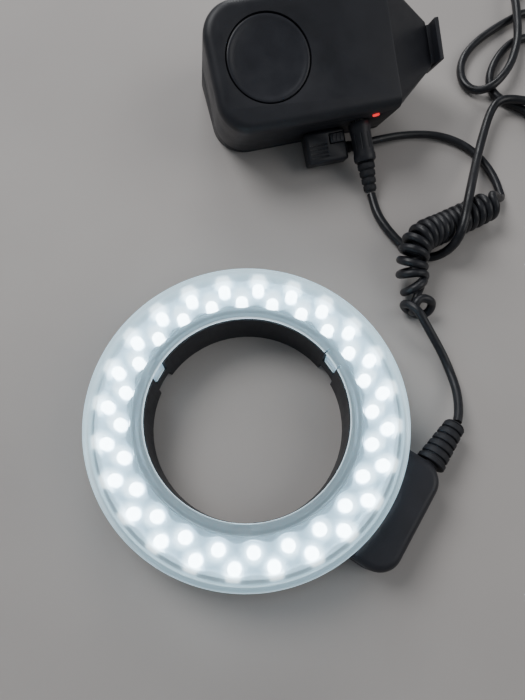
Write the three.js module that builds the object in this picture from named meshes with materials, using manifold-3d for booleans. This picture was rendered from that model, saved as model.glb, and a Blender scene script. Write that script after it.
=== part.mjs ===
// Ring light for a stereo microscope or a macro lens: a 48-lamp ring head with a side pod,
// a curly link cord, a control box with a camera-shoe foot, and a DC supply cord.
// Millimetres, +Z up. The ring head lies on its back with its lamps facing up.
import * as THREE from 'three';
import { mergeVertices } from 'three/addons/utils/BufferGeometryUtils.js';
import { ConvexGeometry } from 'three/addons/geometries/ConvexGeometry.js';
import Module from 'manifold-3d';

const wasm = await Module();
wasm.setup();

// ---------------------------------------------------------------- driving dimensions
const GAP = 0.3;                      // running gap between separate pieces
const DEG = Math.PI / 180;

const RING_CENTRE = [-32.7, -66.2];   // ring axis, from the middle of the whole footprint
const RING_HEIGHT = 22;               // table to the front of the diffuser
const RING_OUTER_R = 63;              // diffuser rim
const BORE_R = 39.6;                  // clear bore that goes round the lens or objective
const COLLAR_TOP = 19.4;
const HOUSING_TOP = 11.8;
const HOUSING_R = 61.2;
const RING_SIDES = 64;

const LED_COUNT = 24;                 // lamps in each of the two rows
const LED_R = 2.5;
const LED_ROW_R = [55.6, 49.9];       // outer and inner row
const LED_FIRST_DEG = [-18, -10.5];   // the rows are staggered by half a pitch
const LED_TIP = 17;
const BOARD_Z = 7;                    // underside of the lamp board
const BOARD_THICK = 1.6;
const TRAY_Z = 11.2;                  // underside of the reflector floor

const SNAP_DEG = [139.5, 19.5, 254.5];  // three snap tabs of the diffuser
const SNAP_WIDTH = 7;

const POD_DEG = -47;                  // direction of the side pod from the ring axis
const POD_OUTER = 76;                 // ring axis to the pod's outer face
const POD_T = [-22, 24.6];            // extent along the tangent
const POD_HEIGHT = 16;
const POD_SPLIT = 7;
const RELIEF_U = 69.8;                // where the strain relief's axis leaves the pod
const RELIEF_Z = 8.5;
const RELIEF_LEAN = 4.5 * DEG;        // the relief leans outwards
const RELIEF_LENGTH = 21;             // outside the pod

const BOX_FROM_RING = [39.3, 136.1];  // near lower edge of the control box, from the ring axis
const TILT = 27.5 * DEG;              // slope of the control face
const BOX_X = [-21.5, 61];            // full-width stretch of the box
const BOX_W = 56;                     // near wall to far wall
const BOX_T = 37;                     // depth below the face at the near wall
const BOX_CORNER = 15;
const EDGE_ROUND = 4.5;
const WALL = 2.2;
const SPLIT_Z = 3;                    // parting line between front and rear shell
const NECK_X = 84;                    // end of the tapered neck
const FOOT_Y = 28;
const FOOT_Z = 18.5;
const FOOT_SIZE = 18.6;
const FOOT_THICK = 2;

const DIAL_AT = [4.6, 29];
const DIAL_R = 18.3;

const DOOR_X = [-5.8, 47.8];          // battery door in the far wall
const DOOR_Z = [1.8, 33.4];
const HINGE_AT = [58.4, 3.2];         // door hinge axis: y, z in the box frame
const CELL_LENGTH = 49.8;
const CELL_R = 7.1;

const BUTTON_AT = [55, 20];           // power button in the far wall: x, z

const PLUG_X = [18.3, 38.3];          // flat link plug in the near wall
const PLUG_Z = [9, 18];
const PLUG_REACH = 15.3;
const DC_AT = [45, 20.5];             // DC plug axis: x, z
const LAMP_AT = [51.4, 27.4];         // power indicator

const LEAD_R = 1.85;                  // curly cord
const COIL_R = 7.25;
const DC_R = 2.1;
const DC_COIL = { at: [208, 93], inner: 16, outer: 29.4, height: 9.2 };

const BLACK = { color: 0x17181c, roughness: 0.55, metalness: 0 };
const SOFT_BLACK = { color: 0x101114, roughness: 0.75, metalness: 0 };
const WHITE = { color: 0xeef4f6, roughness: 0.4, metalness: 0 };
const METAL = { color: 0xc9ccd0, roughness: 0.3, metalness: 1 };

// ---------------------------------------------------------------- solids and booleans
function toSolid(geometry) {
  const bare = geometry.clone();
  for (const name of Object.keys(bare.attributes)) {
    if (name !== 'position') bare.deleteAttribute(name);
  }
  const merged = mergeVertices(bare, 1e-4);
  const mesh = new wasm.Mesh({
    numProp: 3,
    vertProperties: new Float32Array(merged.attributes.position.array),
    triVerts: new Uint32Array(merged.index.array),
  });
  mesh.merge();
  return new wasm.Manifold(mesh);
}

function toGeometry(solid) {
  const mesh = solid.getMesh();
  const geometry = new THREE.BufferGeometry();
  geometry.setAttribute('position', new THREE.BufferAttribute(mesh.vertProperties, 3));
  geometry.setIndex(new THREE.BufferAttribute(mesh.triVerts, 1));
  return geometry;
}

const cut = (body, ...tools) => tools.reduce((left, tool) => left.subtract(tool), body);
const join = (first, ...rest) => rest.reduce((sum, next) => sum.add(next), first);

function block(x, y, z) {
  const geometry = new THREE.BoxGeometry(x[1] - x[0], y[1] - y[0], z[1] - z[0]);
  return geometry.translate((x[0] + x[1]) / 2, (y[0] + y[1]) / 2, (z[0] + z[1]) / 2);
}

// A cylinder along 'x', 'y' or 'z', from one end to the other along that axis.
function rod(axis, radius, ends, centre, sides = 16, endRadius = radius) {
  const length = ends[1] - ends[0];
  const geometry = new THREE.CylinderGeometry(endRadius, radius, length, sides);
  const middle = (ends[0] + ends[1]) / 2;
  if (axis === 'x') return geometry.rotateZ(-Math.PI / 2).translate(middle, centre[0], centre[1]);
  if (axis === 'y') return geometry.translate(centre[0], middle, centre[1]);
  return geometry.rotateX(Math.PI / 2).translate(centre[0], centre[1], middle);
}

// A closed profile of [radius, height] points turned about +Z.
function turned(profile, sides = RING_SIDES) {
  let area = 0;
  profile.forEach(([r, z], i) => {
    const [nextR, nextZ] = profile[(i + 1) % profile.length];
    area += r * nextZ - nextR * z;
  });
  const ordered = area > 0 ? profile : [...profile].reverse();
  const points = [...ordered, ordered[0]].map(([r, z]) => new THREE.Vector2(r, z));
  return new THREE.LatheGeometry(points, sides).rotateX(Math.PI / 2);
}

const hoop = (inner, outer, low, high, sides = RING_SIDES) =>
  turned([[inner, low], [outer, low], [outer, high], [inner, high]], sides);

function prism(shape, low, high, options = {}) {
  const settings = { depth: high - low, bevelEnabled: false, curveSegments: 8, ...options };
  return new THREE.ExtrudeGeometry(shape, settings).translate(0, 0, low);
}

// A tube of the given radius along hand-placed points.
function tube(points, radius, steps, sides = 8) {
  const section = new THREE.Shape();
  for (let i = 0; i < sides; i += 1) {
    const angle = (i / sides) * 2 * Math.PI;
    const move = i === 0 ? 'moveTo' : 'lineTo';
    section[move](radius * Math.cos(angle), radius * Math.sin(angle));
  }
  section.closePath();
  const path = new THREE.CatmullRomCurve3(points.map((p) => new THREE.Vector3(...p)));
  return new THREE.ExtrudeGeometry(section, { steps, bevelEnabled: false, extrudePath: path });
}

const polar = (radius, degrees) => [radius * Math.cos(degrees * DEG), radius * Math.sin(degrees * DEG)];

function addPiece(group, name, shape, look) {
  const geometry = shape.isBufferGeometry ? shape : toGeometry(shape);
  const mesh = new THREE.Mesh(geometry, new THREE.MeshStandardMaterial(look));
  mesh.name = name;
  group.add(mesh);
  return mesh;
}

// ---------------------------------------------------------------- ring head
function makeHousing() {
  const collar = [[BORE_R, 0], [BORE_R + 2, 0], [BORE_R + 2, 1.9]];
  const outer = [[58.8, 1.9], [58.8, 0], [HOUSING_R, 0], [HOUSING_R, 8], [62.4, 8.8], [62.4, HOUSING_TOP]];
  const inside = [[58.8, HOUSING_TOP], [58.8, 3.4], [BORE_R + 2, 3.4], [BORE_R + 2, COLLAR_TOP]];
  let body = toSolid(turned([...collar, ...outer, ...inside, [BORE_R, COLLAR_TOP]], 64));
  for (const degrees of SNAP_DEG) {
    const slot = block([BORE_R - 2, BORE_R + 2.6], [-SNAP_WIDTH / 2 - 0.4, SNAP_WIDTH / 2 + 0.4], [11.6, 21]);
    const notch = block([BORE_R - 2, BORE_R + 3], [-4.5, 4.5], [-1, 5.5]);
    body = cut(body, toSolid(slot.rotateZ(degrees * DEG)), toSolid(notch.rotateZ(degrees * DEG)));
  }
  const wireSlot = block([57, 64], [-6, 6], [5, 8.5]).rotateZ(POD_DEG * DEG);
  body = cut(body, toSolid(wireSlot));
  for (let i = 0; i < 6; i += 1) {
    const [x, y] = polar(52.7, 15 + i * 60);
    body = join(body, toSolid(rod('z', 2, [3, BOARD_Z - GAP], [x, y], 8)));
  }
  return body;
}

function makeBackPlate() {
  let plate = toSolid(hoop(BORE_R + 2.4, 58.4, 0, 1.6));
  for (let i = 0; i < 4; i += 1) {
    const [x, y] = polar(50, 45 + i * 90);
    const sink = rod('z', 2.9, [-1, 0.9], [x, y], 12);
    const hole = rod('z', 1.5, [-1, 3], [x, y], 12);
    plate = cut(plate, toSolid(sink), toSolid(hole));
  }
  return plate;
}

// The screw passes the back plate's hole and ends under the housing floor.
function makeBackScrew(index) {
  const [x, y] = polar(50, 45 + index * 90);
  return join(toSolid(rod('z', 2.5, [0.1, 0.6], [x, y], 12)), toSolid(rod('z', 1.1, [0.3, 1.6], [x, y], 8)));
}

// One row of lamps, joined by the strip that carries them.
function makeLedRow(row) {
  const radius = LED_ROW_R[row];
  const floor = BOARD_Z + BOARD_THICK + GAP;
  let strip = toSolid(hoop(radius - 1.3, radius + 1.3, floor, floor + 0.8, 64));
  const half = [[0, floor + 0.4], [LED_R, floor + 0.4], [LED_R, LED_TIP - 2.1], [1.7, LED_TIP - 0.6], [0, LED_TIP]];
  for (let i = 0; i < LED_COUNT; i += 1) {
    const [x, y] = polar(radius, LED_FIRST_DEG[row] + i * (360 / LED_COUNT));
    const points = half.map(([r, z]) => new THREE.Vector2(r, z));
    const lamp = new THREE.LatheGeometry(points, 8).rotateX(Math.PI / 2).translate(x, y, 0);
    strip = join(strip, toSolid(lamp));
  }
  return strip;
}

// Floor with a hole for every lamp, a scalloped wall inside and a plain wall outside.
function makeReflector() {
  const steps = 96;
  const scallop = new THREE.Shape();
  for (let i = 0; i < steps; i += 1) {
    const degrees = (i / steps) * 360;
    const wave = Math.cos((degrees - LED_FIRST_DEG[1]) * LED_COUNT * DEG);
    const [x, y] = polar(46.1 - 0.8 * wave, degrees);
    scallop[i === 0 ? 'moveTo' : 'lineTo'](x, y);
  }
  scallop.closePath();
  const innerWall = cut(
    toSolid(prism(scallop, TRAY_Z, 18.8)),
    toSolid(rod('z', 44.4, [TRAY_Z - 1, 20], [0, 0], 64)),
  );
  const floor = toSolid(hoop(45, 58, TRAY_Z, TRAY_Z + 1, 64));
  const outerWall = toSolid(turned([[56.4, TRAY_Z], [58.2, TRAY_Z], [58.6, 19.4], [57.6, 19.4]], 64));
  let tray = join(innerWall, floor, outerWall);
  for (let row = 0; row < 2; row += 1) {
    for (let i = 0; i < LED_COUNT; i += 1) {
      const [x, y] = polar(LED_ROW_R[row], LED_FIRST_DEG[row] + i * (360 / LED_COUNT));
      tray = cut(tray, toSolid(rod('z', 3, [TRAY_Z - 1, 21], [x, y], 8)));
    }
  }
  return tray;
}

function makeDiffuser() {
  const top = RING_HEIGHT;
  const rim = RING_OUTER_R;
  const face = [[40.2, top - 2], [39.8, top - 1.4], [39.8, top - 0.6], [40.4, top], [rim - 2.2, top]];
  const skirt = [[rim - 0.8, top - 0.5], [rim, top - 1.8], [rim, 12.4], [rim - 2, 12.4], [rim - 2, top - 2.4]];
  const inner = [[rim - 2.6, top - 1.8], [43.6, top - 1.8], [43.6, 16.4], [42.3, 16.4], [42.3, top - 2]];
  let cover = toSolid(turned([...face, ...skirt, ...inner], 64));
  for (const degrees of SNAP_DEG) {
    const tab = block([40.2, 42.8], [-SNAP_WIDTH / 2, SNAP_WIDTH / 2], [12, top - 1]);
    cover = join(cover, toSolid(tab.rotateZ(degrees * DEG)));
  }
  return cover;
}

function addRingHead(scene) {
  const ring = new THREE.Group();
  ring.position.set(RING_CENTRE[0], RING_CENTRE[1], 0);
  addPiece(ring, 'ring_housing', makeHousing(), BLACK);
  addPiece(ring, 'ring_back_plate', makeBackPlate(), SOFT_BLACK);
  for (let i = 0; i < 4; i += 1) addPiece(ring, `back_screw_${i + 1}`, makeBackScrew(i), METAL);
  const board = hoop(44.2, 58.2, BOARD_Z, BOARD_Z + BOARD_THICK);
  addPiece(ring, 'led_board', board, WHITE);
  addPiece(ring, 'led_row_outer', makeLedRow(0), { ...WHITE, emissive: 0xddeeff });
  addPiece(ring, 'led_row_inner', makeLedRow(1), { ...WHITE, emissive: 0xddeeff });
  addPiece(ring, 'reflector_tray', makeReflector(), WHITE);
  addPiece(ring, 'diffuser_cover', makeDiffuser(), { ...WHITE, transparent: true, opacity: 0.5 });
  scene.add(ring);
}

// ---------------------------------------------------------------- side pod
function podOutline(inset) {
  const [low, high] = [POD_T[0] + inset, POD_T[1] - inset];
  const outer = POD_OUTER - inset;
  const corner = 9 - inset;
  const shape = new THREE.Shape();
  shape.moveTo(54, low);
  shape.lineTo(outer - corner, low);
  shape.absarc(outer - corner, low + corner, corner, -Math.PI / 2, 0, false);
  shape.absarc(outer - corner, high - corner, corner, 0, Math.PI / 2, false);
  shape.lineTo(54, high);
  shape.closePath();
  return shape;
}

// The pod hugs the housing below and stays clear of the diffuser rim above.
function podBody(low, high, roundTop) {
  const outline = roundTop ? podOutline(2) : podOutline(0);
  const bevel = { bevelEnabled: true, bevelSize: 2, bevelThickness: 2, bevelSegments: 3 };
  const raw = roundTop ? prism(outline, low - 4, high - 2, bevel) : prism(outline, low, high);
  const trimmed = cut(
    toSolid(raw),
    toSolid(block([40, 90], [-40, 40], [low - 20, low])),
    toSolid(rod('z', HOUSING_R + 0.4, [-5, 7.9], [0, 0], 64)),
    toSolid(rod('z', 62.8, [7.5, 12.2], [0, 0], 64)),
    toSolid(rod('z', RING_OUTER_R + 0.6, [12, 30], [0, 0], 64)),
  );
  return trimmed;
}

function addPod(scene) {
  const pod = new THREE.Group();
  pod.position.set(RING_CENTRE[0], RING_CENTRE[1], 0);
  pod.rotation.z = POD_DEG * DEG;
  const lean = (geometry) => geometry.rotateZ(-RELIEF_LEAN).translate(RELIEF_U, POD_T[1], RELIEF_Z);
  const reliefHole = lean(rod('y', 3.9, [-6, 2], [0, 0], 16));
  const cavity = block([65.5, POD_OUTER - 2], [POD_T[0] + 4, POD_T[1] - 4.5], [1.8, POD_HEIGHT - 1.8]);
  const wireSlot = block([58, 66], [-5.5, 5.5], [5, 10]);
  const hollows = [reliefHole, cavity, wireSlot].map(toSolid);
  const lower = cut(podBody(0, POD_SPLIT, false), ...hollows);
  const upper = cut(podBody(POD_SPLIT + GAP, POD_HEIGHT, true), ...hollows);
  addPiece(pod, 'pod_lower_shell', lower, BLACK);
  addPiece(pod, 'pod_upper_shell', upper, BLACK);
  addPiece(pod, 'pod_board', block([66, 73.4], [-17.5, 19.1], [4.2, 5.8]), { color: 0x1d5a3a, roughness: 0.5 });

  const steps = [[3.5, -4.7], [3.5, 0.9], [5.9, 0.9], [5.9, 3.1], [4.9, 3.5]];
  for (let i = 0; i < 5; i += 1) {
    const start = 4.1 + i * 3.3;
    const radius = 5.5 - i * 0.28;
    steps.push([radius - 1, start], [radius, start + 0.4], [radius, start + 2], [radius - 1, start + 2.4]);
  }
  steps.push([3.1, RELIEF_LENGTH]);
  const profile = [[0, steps[0][1]], ...steps, [0, RELIEF_LENGTH]].map(([r, y]) => new THREE.Vector2(r, y));
  const relief = lean(new THREE.LatheGeometry(profile, 16));
  addPiece(pod, 'pod_strain_relief', relief, SOFT_BLACK);
  scene.add(pod);
}

// ---------------------------------------------------------------- control box
// The box frame: x along the box to its foot, y up the sloping face, z out of the face.
function boxOutline(inset) {
  const left = BOX_X[0] + inset;
  const right = BOX_X[1] + 3 - inset;
  const [near, far] = [inset, BOX_W - inset];
  const corner = BOX_CORNER - inset;
  const shape = new THREE.Shape();
  shape.moveTo(right, near);
  shape.lineTo(right, far);
  shape.lineTo(left + corner, far);
  shape.absarc(left + corner, far - corner, corner, Math.PI / 2, Math.PI, false);
  shape.absarc(left + corner, near + corner, corner, Math.PI, 1.5 * Math.PI, false);
  shape.closePath();
  return shape;
}

// Everything below a plane that is level with the table, at the given height over it.
function belowTable(height) {
  return block([-80, 140], [-160, 200], [-120, height]).rotateX(-TILT);
}

function makeBoxBody() {
  const bevel = {
    bevelEnabled: true, bevelSize: EDGE_ROUND, bevelThickness: EDGE_ROUND, bevelSegments: 4, curveSegments: 8,
  };
  const main = toSolid(prism(boxOutline(EDGE_ROUND), -40, BOX_T - EDGE_ROUND, bevel));
  const slab = toSolid(block([BOX_X[0] - 5, BOX_X[1]], [-5, BOX_W + 5], [-38, BOX_T + 5]));
  const drop = -BOX_W * Math.tan(TILT);
  const section = [[0, 0], [0, 32.5], [4.5, 37], [BOX_W - 4.5, 37], [BOX_W, 32.5], [BOX_W, drop]];
  const wide = section.map(([y, z]) => new THREE.Vector3(BOX_X[1] - 0.5, y, z));
  const narrow = [[17.5, 13], [17.5, 22.5], [38.5, 22.5], [38.5, 13]];
  const end = narrow.map(([y, z]) => new THREE.Vector3(NECK_X, y, z));
  const taper = toSolid(new ConvexGeometry([...wide, ...end]));
  return cut(join(main.intersect(slab), taper), toSolid(belowTable(0)));
}

function makeBoxCavity() {
  const inner = toSolid(prism(boxOutline(WALL), -40, BOX_T - 2));
  const slab = toSolid(block([BOX_X[0], BOX_X[1] - 2], [0, BOX_W], [-38, BOX_T]));
  const boss = toSolid(rod('z', 21.5, [BOX_T - 3.8, BOX_T], DIAL_AT, 32));
  return cut(inner.intersect(slab), toSolid(belowTable(WALL)), boss);
}

function makeShells() {
  const [dialX, dialY] = DIAL_AT;
  const hollow = cut(makeBoxBody(), makeBoxCavity());
  const openings = [
    rod('z', DIAL_R + 0.65, [BOX_T - 2.2, BOX_T + 2], [dialX, dialY], 64),
    rod('z', 2.95, [BOX_T - 6, BOX_T], [dialX, dialY], 16),
    block([PLUG_X[0] + 2, PLUG_X[1] - 2], [-1, WALL + 1], [PLUG_Z[0] + 1, PLUG_Z[1] - 1]),
    rod('y', 4, [-1, WALL + 1], DC_AT, 20),
    rod('y', 1.95, [-1, WALL + 1], LAMP_AT, 12),
    block([DOOR_X[0] - 0.4, DOOR_X[1] + 0.4], [BOX_W - 3, BOX_W + 1], [DOOR_Z[0] - 0.4, DOOR_Z[1] + 0.4]),
    rod('y', 3.75, [BOX_W - 3, BOX_W + 1], BUTTON_AT, 20),
  ].map(toSolid);
  const pierced = cut(hollow, ...openings);
  const front = pierced.intersect(toSolid(block([-60, 120], [-60, 120], [SPLIT_Z + GAP / 2, 60])));
  const rear = pierced.intersect(toSolid(block([-60, 120], [-60, 120], [-80, SPLIT_Z - GAP / 2])));
  return { front, rear };
}

// Two lugs carry the door's hinge pin.
function makeRearShell(rear) {
  let shell = rear;
  for (const x of [[-2, 5.6], [36.4, 44]]) {
    const arm = block(x, [BOX_W - 1, HINGE_AT[0]], [-2, 1.4]);
    const web = block(x, [BOX_W + 0.6, HINGE_AT[0] + 1.4], [-0.6, HINGE_AT[1]]);
    const knuckle = rod('x', 2, x, HINGE_AT, 16);
    shell = join(shell, toSolid(arm), toSolid(web), toSolid(knuckle));
  }
  const pinHole = rod('x', 1.15, [-6, 48], HINGE_AT, 12);
  const screws = SHELL_SCREWS.map(([x, y]) => toSolid(screwHole(x, y)));
  return cut(shell, toSolid(pinHole), ...screws);
}

const SHELL_SCREWS = [[-8, 14], [54, 14], [-8, 46], [54, 46]];
const levelRod = (radius, ends, at, sides) => rod('z', radius, ends, at, sides).rotateX(-TILT);

function screwHole(x, y) {
  return toGeometry(join(toSolid(levelRod(2.8, [-1, 1.1], [x, y], 12)), toSolid(levelRod(1.5, [-1, 3], [x, y], 12))));
}

function makeShellScrew([x, y]) {
  return join(toSolid(levelRod(2.4, [0.1, 0.8], [x, y], 12)), toSolid(levelRod(1.1, [0.5, 6.5], [x, y], 8)));
}

function makeDial() {
  const low = BOX_T - 1.85;
  const profile = [
    [0, BOX_T - 4.6], [2.6, BOX_T - 4.6], [2.6, low], [DIAL_R, low], [DIAL_R, BOX_T - 0.5],
    [DIAL_R - 0.5, BOX_T - 0.1], [DIAL_R - 1.4, BOX_T - 0.1], [DIAL_R - 3.4, BOX_T - 0.7], [0, BOX_T - 0.9],
  ];
  const points = profile.map(([r, z]) => new THREE.Vector2(r, z));
  return new THREE.LatheGeometry(points, 48).rotateX(Math.PI / 2).translate(DIAL_AT[0], DIAL_AT[1], 0);
}

function makeDoor() {
  const panel = toSolid(block(DOOR_X, [BOX_W - 2, BOX_W], DOOR_Z));
  const web = toSolid(block([6, 36], [BOX_W - 1, HINGE_AT[0]], [HINGE_AT[1] - 1.2, HINGE_AT[1] + 1.2]));
  const knuckle = toSolid(rod('x', 2, [6, 36], HINGE_AT, 16));
  const hole = toSolid(rod('x', 1.15, [0, 42], HINGE_AT, 12));
  const pocket = toSolid(block([14, 28.4], [BOX_W - 1.1, BOX_W + 1], [24, 31]));
  return cut(join(panel, web, knuckle), hole, pocket);
}

function addBatteryBay(box) {
  const outer = toSolid(block([-7.2, 49.2], [21.4, 53.3], [0.2, 30]));
  const inner = toSolid(block([-5.4, 47.4], [23.2, 60], [1.8, 40]));
  addPiece(box, 'battery_tray', cut(outer, inner), BLACK);
  const start = (DOOR_X[0] + DOOR_X[1] - CELL_LENGTH) / 2;
  const rows = [[31.1, 9.5], [45.8, 9.5], [31.1, 24.2], [45.8, 24.2]];
  rows.forEach((at, i) => {
    const can = toSolid(rod('x', CELL_R, [start, start + CELL_LENGTH - 1.2], at, 20));
    const nub = toSolid(rod('x', 2.7, [start + CELL_LENGTH - 2, start + CELL_LENGTH], at, 12));
    addPiece(box, `battery_cell_${i + 1}`, join(can, nub), { color: 0x2f3b46, roughness: 0.35, metalness: 0.4 });
  });
  addPiece(box, 'battery_contact_left', block([start - 0.8, start - 0.4], [24.5, 52.5], [3, 30.5]), METAL);
  const right = start + CELL_LENGTH;
  addPiece(box, 'battery_contact_right', block([right + 0.4, right + 0.8], [24.5, 52.5], [3, 30.5]), METAL);
}

function addFarWall(box) {
  addPiece(box, 'battery_door', makeDoor(), BLACK);
  addPiece(box, 'door_hinge_pin', rod('x', 0.85, [-2.2, 44.2], HINGE_AT, 10), METAL);
  const thumb = block([14.4, 23.4], [BOX_W - 0.8, BOX_W + 0.9], [24.4, 30.6]);
  addPiece(box, 'battery_door_latch', thumb, SOFT_BLACK);
  addPiece(box, 'power_button', rod('y', 3.4, [BOX_W - 2.8, BOX_W + 1.2], BUTTON_AT, 24), SOFT_BLACK);
  const [x, z] = BUTTON_AT;
  addPiece(box, 'power_switch', block([x - 3.4, x + 3.4], [46, BOX_W - 4.1], [z - 4, z + 4]), BLACK);
}

// The plate slides into a camera's accessory shoe; the stem leaves room for the shoe's rails.
function addFoot(box) {
  const half = FOOT_SIZE / 2;
  const outer = NECK_X + 2.3 + FOOT_THICK;
  const plate = block([outer - FOOT_THICK, outer], [FOOT_Y - half, FOOT_Y + half], [FOOT_Z - 9, FOOT_Z + 9]);
  const stem = block([NECK_X + GAP, outer - 1], [FOOT_Y - 8.6, FOOT_Y + 8.6], [FOOT_Z - 5, FOOT_Z + 3.6]);
  const bore = rod('x', 1.5, [NECK_X + 1.2, outer + 1], [FOOT_Y, FOOT_Z], 12);
  addPiece(box, 'shoe_foot', cut(join(toSolid(plate), toSolid(stem)), toSolid(bore)), METAL);
  const pin = rod('x', 1.15, [NECK_X + 2.3, outer + 0.8], [FOOT_Y, FOOT_Z], 12);
  addPiece(box, 'shoe_contact_pin', pin, { color: 0xd9b45a, roughness: 0.3, metalness: 1 });
}

function addNearWall(box) {
  const [plugX, plugZ] = [PLUG_X, PLUG_Z];
  const nose = block([plugX[0] + 3, plugX[1] - 3], [-1, 9], [plugZ[0] + 2, plugZ[1] - 2]);
  const body = block(plugX, [-PLUG_REACH, -0.4], plugZ);
  const tabPocket = block([30.1, 37.7], [-7.3, -2.3], [16.2, 20]);
  const plug = cut(join(toSolid(body), toSolid(nose)), toSolid(tabPocket));
  addPiece(box, 'link_plug', plug, BLACK);
  const tab = block([30.4, 37.4], [-7, -2.6], [17, 18.8]);
  addPiece(box, 'link_plug_tab', tab, { color: 0x3a3b42, roughness: 0.5 });
  const boot = rod('x', 2.9, [plugX[1] + GAP, 44.2], [-9, 12], 16, 2.3);
  addPiece(box, 'link_plug_boot', boot, SOFT_BLACK);
  const socket = toSolid(block([19.6, 37], [WALL + 0.4, 13], [8, 19]));
  const mouth = toSolid(block([plugX[0] + 2.6, plugX[1] - 2.6], [0, 10], [plugZ[0] + 1.6, plugZ[1] - 1.6]));
  addPiece(box, 'link_socket', cut(socket, mouth), BLACK);

  addPiece(box, 'dc_plug', rod('y', 5.25, [-19, -0.4], DC_AT, 24), BLACK);
  const boot2 = [[0, 0], [2.6, 0]];
  for (let i = 0; i < 4; i += 1) {
    const start = 0.6 + i * 3.4;
    const radius = 3.1 + i * 0.35;
    boot2.push([radius - 0.8, start], [radius, start + 0.4], [radius, start + 2], [radius - 0.8, start + 2.5]);
  }
  boot2.push([4.3, 14], [0, 14]);
  const points = boot2.map(([r, y]) => new THREE.Vector2(r, y));
  const boot3 = new THREE.LatheGeometry(points, 16).translate(DC_AT[0], -33.3, DC_AT[1]);
  addPiece(box, 'dc_plug_boot', boot3, SOFT_BLACK);
  const barrel = rod('y', 2.75, [-0.1, 8.6], DC_AT, 20);
  addPiece(box, 'dc_plug_barrel', barrel, METAL);
  const jack = toSolid(block([DC_AT[0] - 5, DC_AT[0] + 5], [WALL + 0.4, 13], [DC_AT[1] - 5, DC_AT[1] + 5]));
  addPiece(box, 'dc_jack', cut(jack, toSolid(rod('y', 3.1, [0, 10], DC_AT, 20))), BLACK);
  addPiece(box, 'power_indicator', rod('y', 1.6, [-0.5, 4], LAMP_AT, 16), { color: 0xc81020, emissive: 0xff1020 });
}

function addControlBox(scene) {
  const box = new THREE.Group();
  box.position.set(RING_CENTRE[0] + BOX_FROM_RING[0], RING_CENTRE[1] + BOX_FROM_RING[1], 0);
  box.rotation.x = TILT;
  const { front, rear } = makeShells();
  addPiece(box, 'front_shell', front, BLACK);
  addPiece(box, 'rear_shell', makeRearShell(rear), BLACK);
  SHELL_SCREWS.forEach((at, i) => addPiece(box, `shell_screw_${i + 1}`, makeShellScrew(at), METAL));
  addPiece(box, 'control_dial', makeDial(), BLACK);
  const [dialX, dialY] = DIAL_AT;
  addPiece(box, 'dial_encoder', block([dialX - 5, dialX + 5], [dialY - 18, dialY - 8.2], [24, 31]), SOFT_BLACK);
  addPiece(box, 'control_board', block([12, 58], [5, 20.6], [29.8, 31.4]), { color: 0x1d5a3a, roughness: 0.5 });
  addBatteryBay(box);
  addFarWall(box);
  addFoot(box);
  addNearWall(box);
  scene.add(box);
}

// ---------------------------------------------------------------- cords, from the ring axis
const RING_LEAD = [
  [82.9, -20.5, 8.4], [85.5, -17.6, 7.5], [87.7, -13.6, 5.2], [90.6, -8, 3.2], [92.6, -2, 2.2], [93.7, 5, 2],
  [92.8, 11.6, 2.1], [90.6, 16.6, 3.6], [87.4, 19.8, 6.4],
];
const COIL_PATH = [
  [85.4, 22.8, 7.6], [83.8, 29.2, 7.6], [83.5, 36.4, 7.6], [84.4, 44.6, 9.4], [86.6, 52.4, 12], [90.6, 59, 12.9],
  [97.4, 63, 12.4], [106.7, 66.1, 9.6], [115.8, 69, 7.8], [124.2, 71, 7.6], [134.3, 73.7, 7.6],
];
const PLUG_LEAD = [
  [134.8, 73.3, 2.9], [139.8, 73.6, 2.2], [144, 76.8, 2], [146.4, 82, 2], [147, 90, 2], [146.2, 98, 2],
  [143.4, 106.8, 2], [138.6, 114.4, 2], [131.6, 120.4, 2], [122.6, 124.2, 2.2], [110, 125.9, 3], [98, 124.6, 5],
  [89, 123.1, 6.4], [83.9, 122.6, 6.5],
];
const DC_CORD = [
  [84.3, 95.7, 2.5], [84, 91, 2.3], [83.9, 84, 2.3], [86, 75.4, 2.3], [89.4, 67, 2.3], [93.6, 60.6, 2.3],
  [98.6, 56.6, 2.5], [104.4, 55.2, 5.2], [109.8, 56.4, 11.2], [113.6, 61.4, 16.4], [118.2, 70, 17.7],
  [124.6, 80, 15.8], [133.2, 92, 10.6], [141.6, 104.2, 7], [149.4, 116, 6.8], [156.6, 126, 6.8],
  [163.4, 132.2, 7], [170.6, 132, 7], [178.6, 128.6, 7], [192, 126.6, 6], [206, 133, 3], [218, 147, 2.3],
  [225.6, 166, 2.3], [227, 187, 2.3], [221, 203, 2.3], [210.6, 209.6, 3.4], [202.6, 205, 6], [199.8, 196, 6.9],
  [194.8, 181.4, 6.9], [189, 168, 6.9], [179.8, 154.6, 6.9], [170.8, 146.4, 6.9], [163.4, 142.7, 5.4],
  [157.2, 144.7, 2.9], [153.7, 151.4, 2.3], [155.6, 161.6, 2.3], [163.6, 172, 2.3], [178, 181.4, 2.3],
  [197, 189.4, 2.3], [208, 192, 2.3], [215, 186.4, 2.3], [212.6, 178, 2.3], [202.6, 174.2, 2.3],
  [191.6, 173.4, 2.3], [179.4, 165.4, 2.3], [170.6, 155.4, 2.3], [166.4, 145.6, 2.3], [168.4, 137, 2.3],
  [175, 130.8, 2.3], [179.6, 124.6, 2.3], [181, 112.8, 2.3],
];
const DC_TAIL = [[181.2, 75.6, 6.2], [180.8, 72, 5.2], [180, 68.4, 4.5], [179.5, 65.5, 4.2]];

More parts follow.
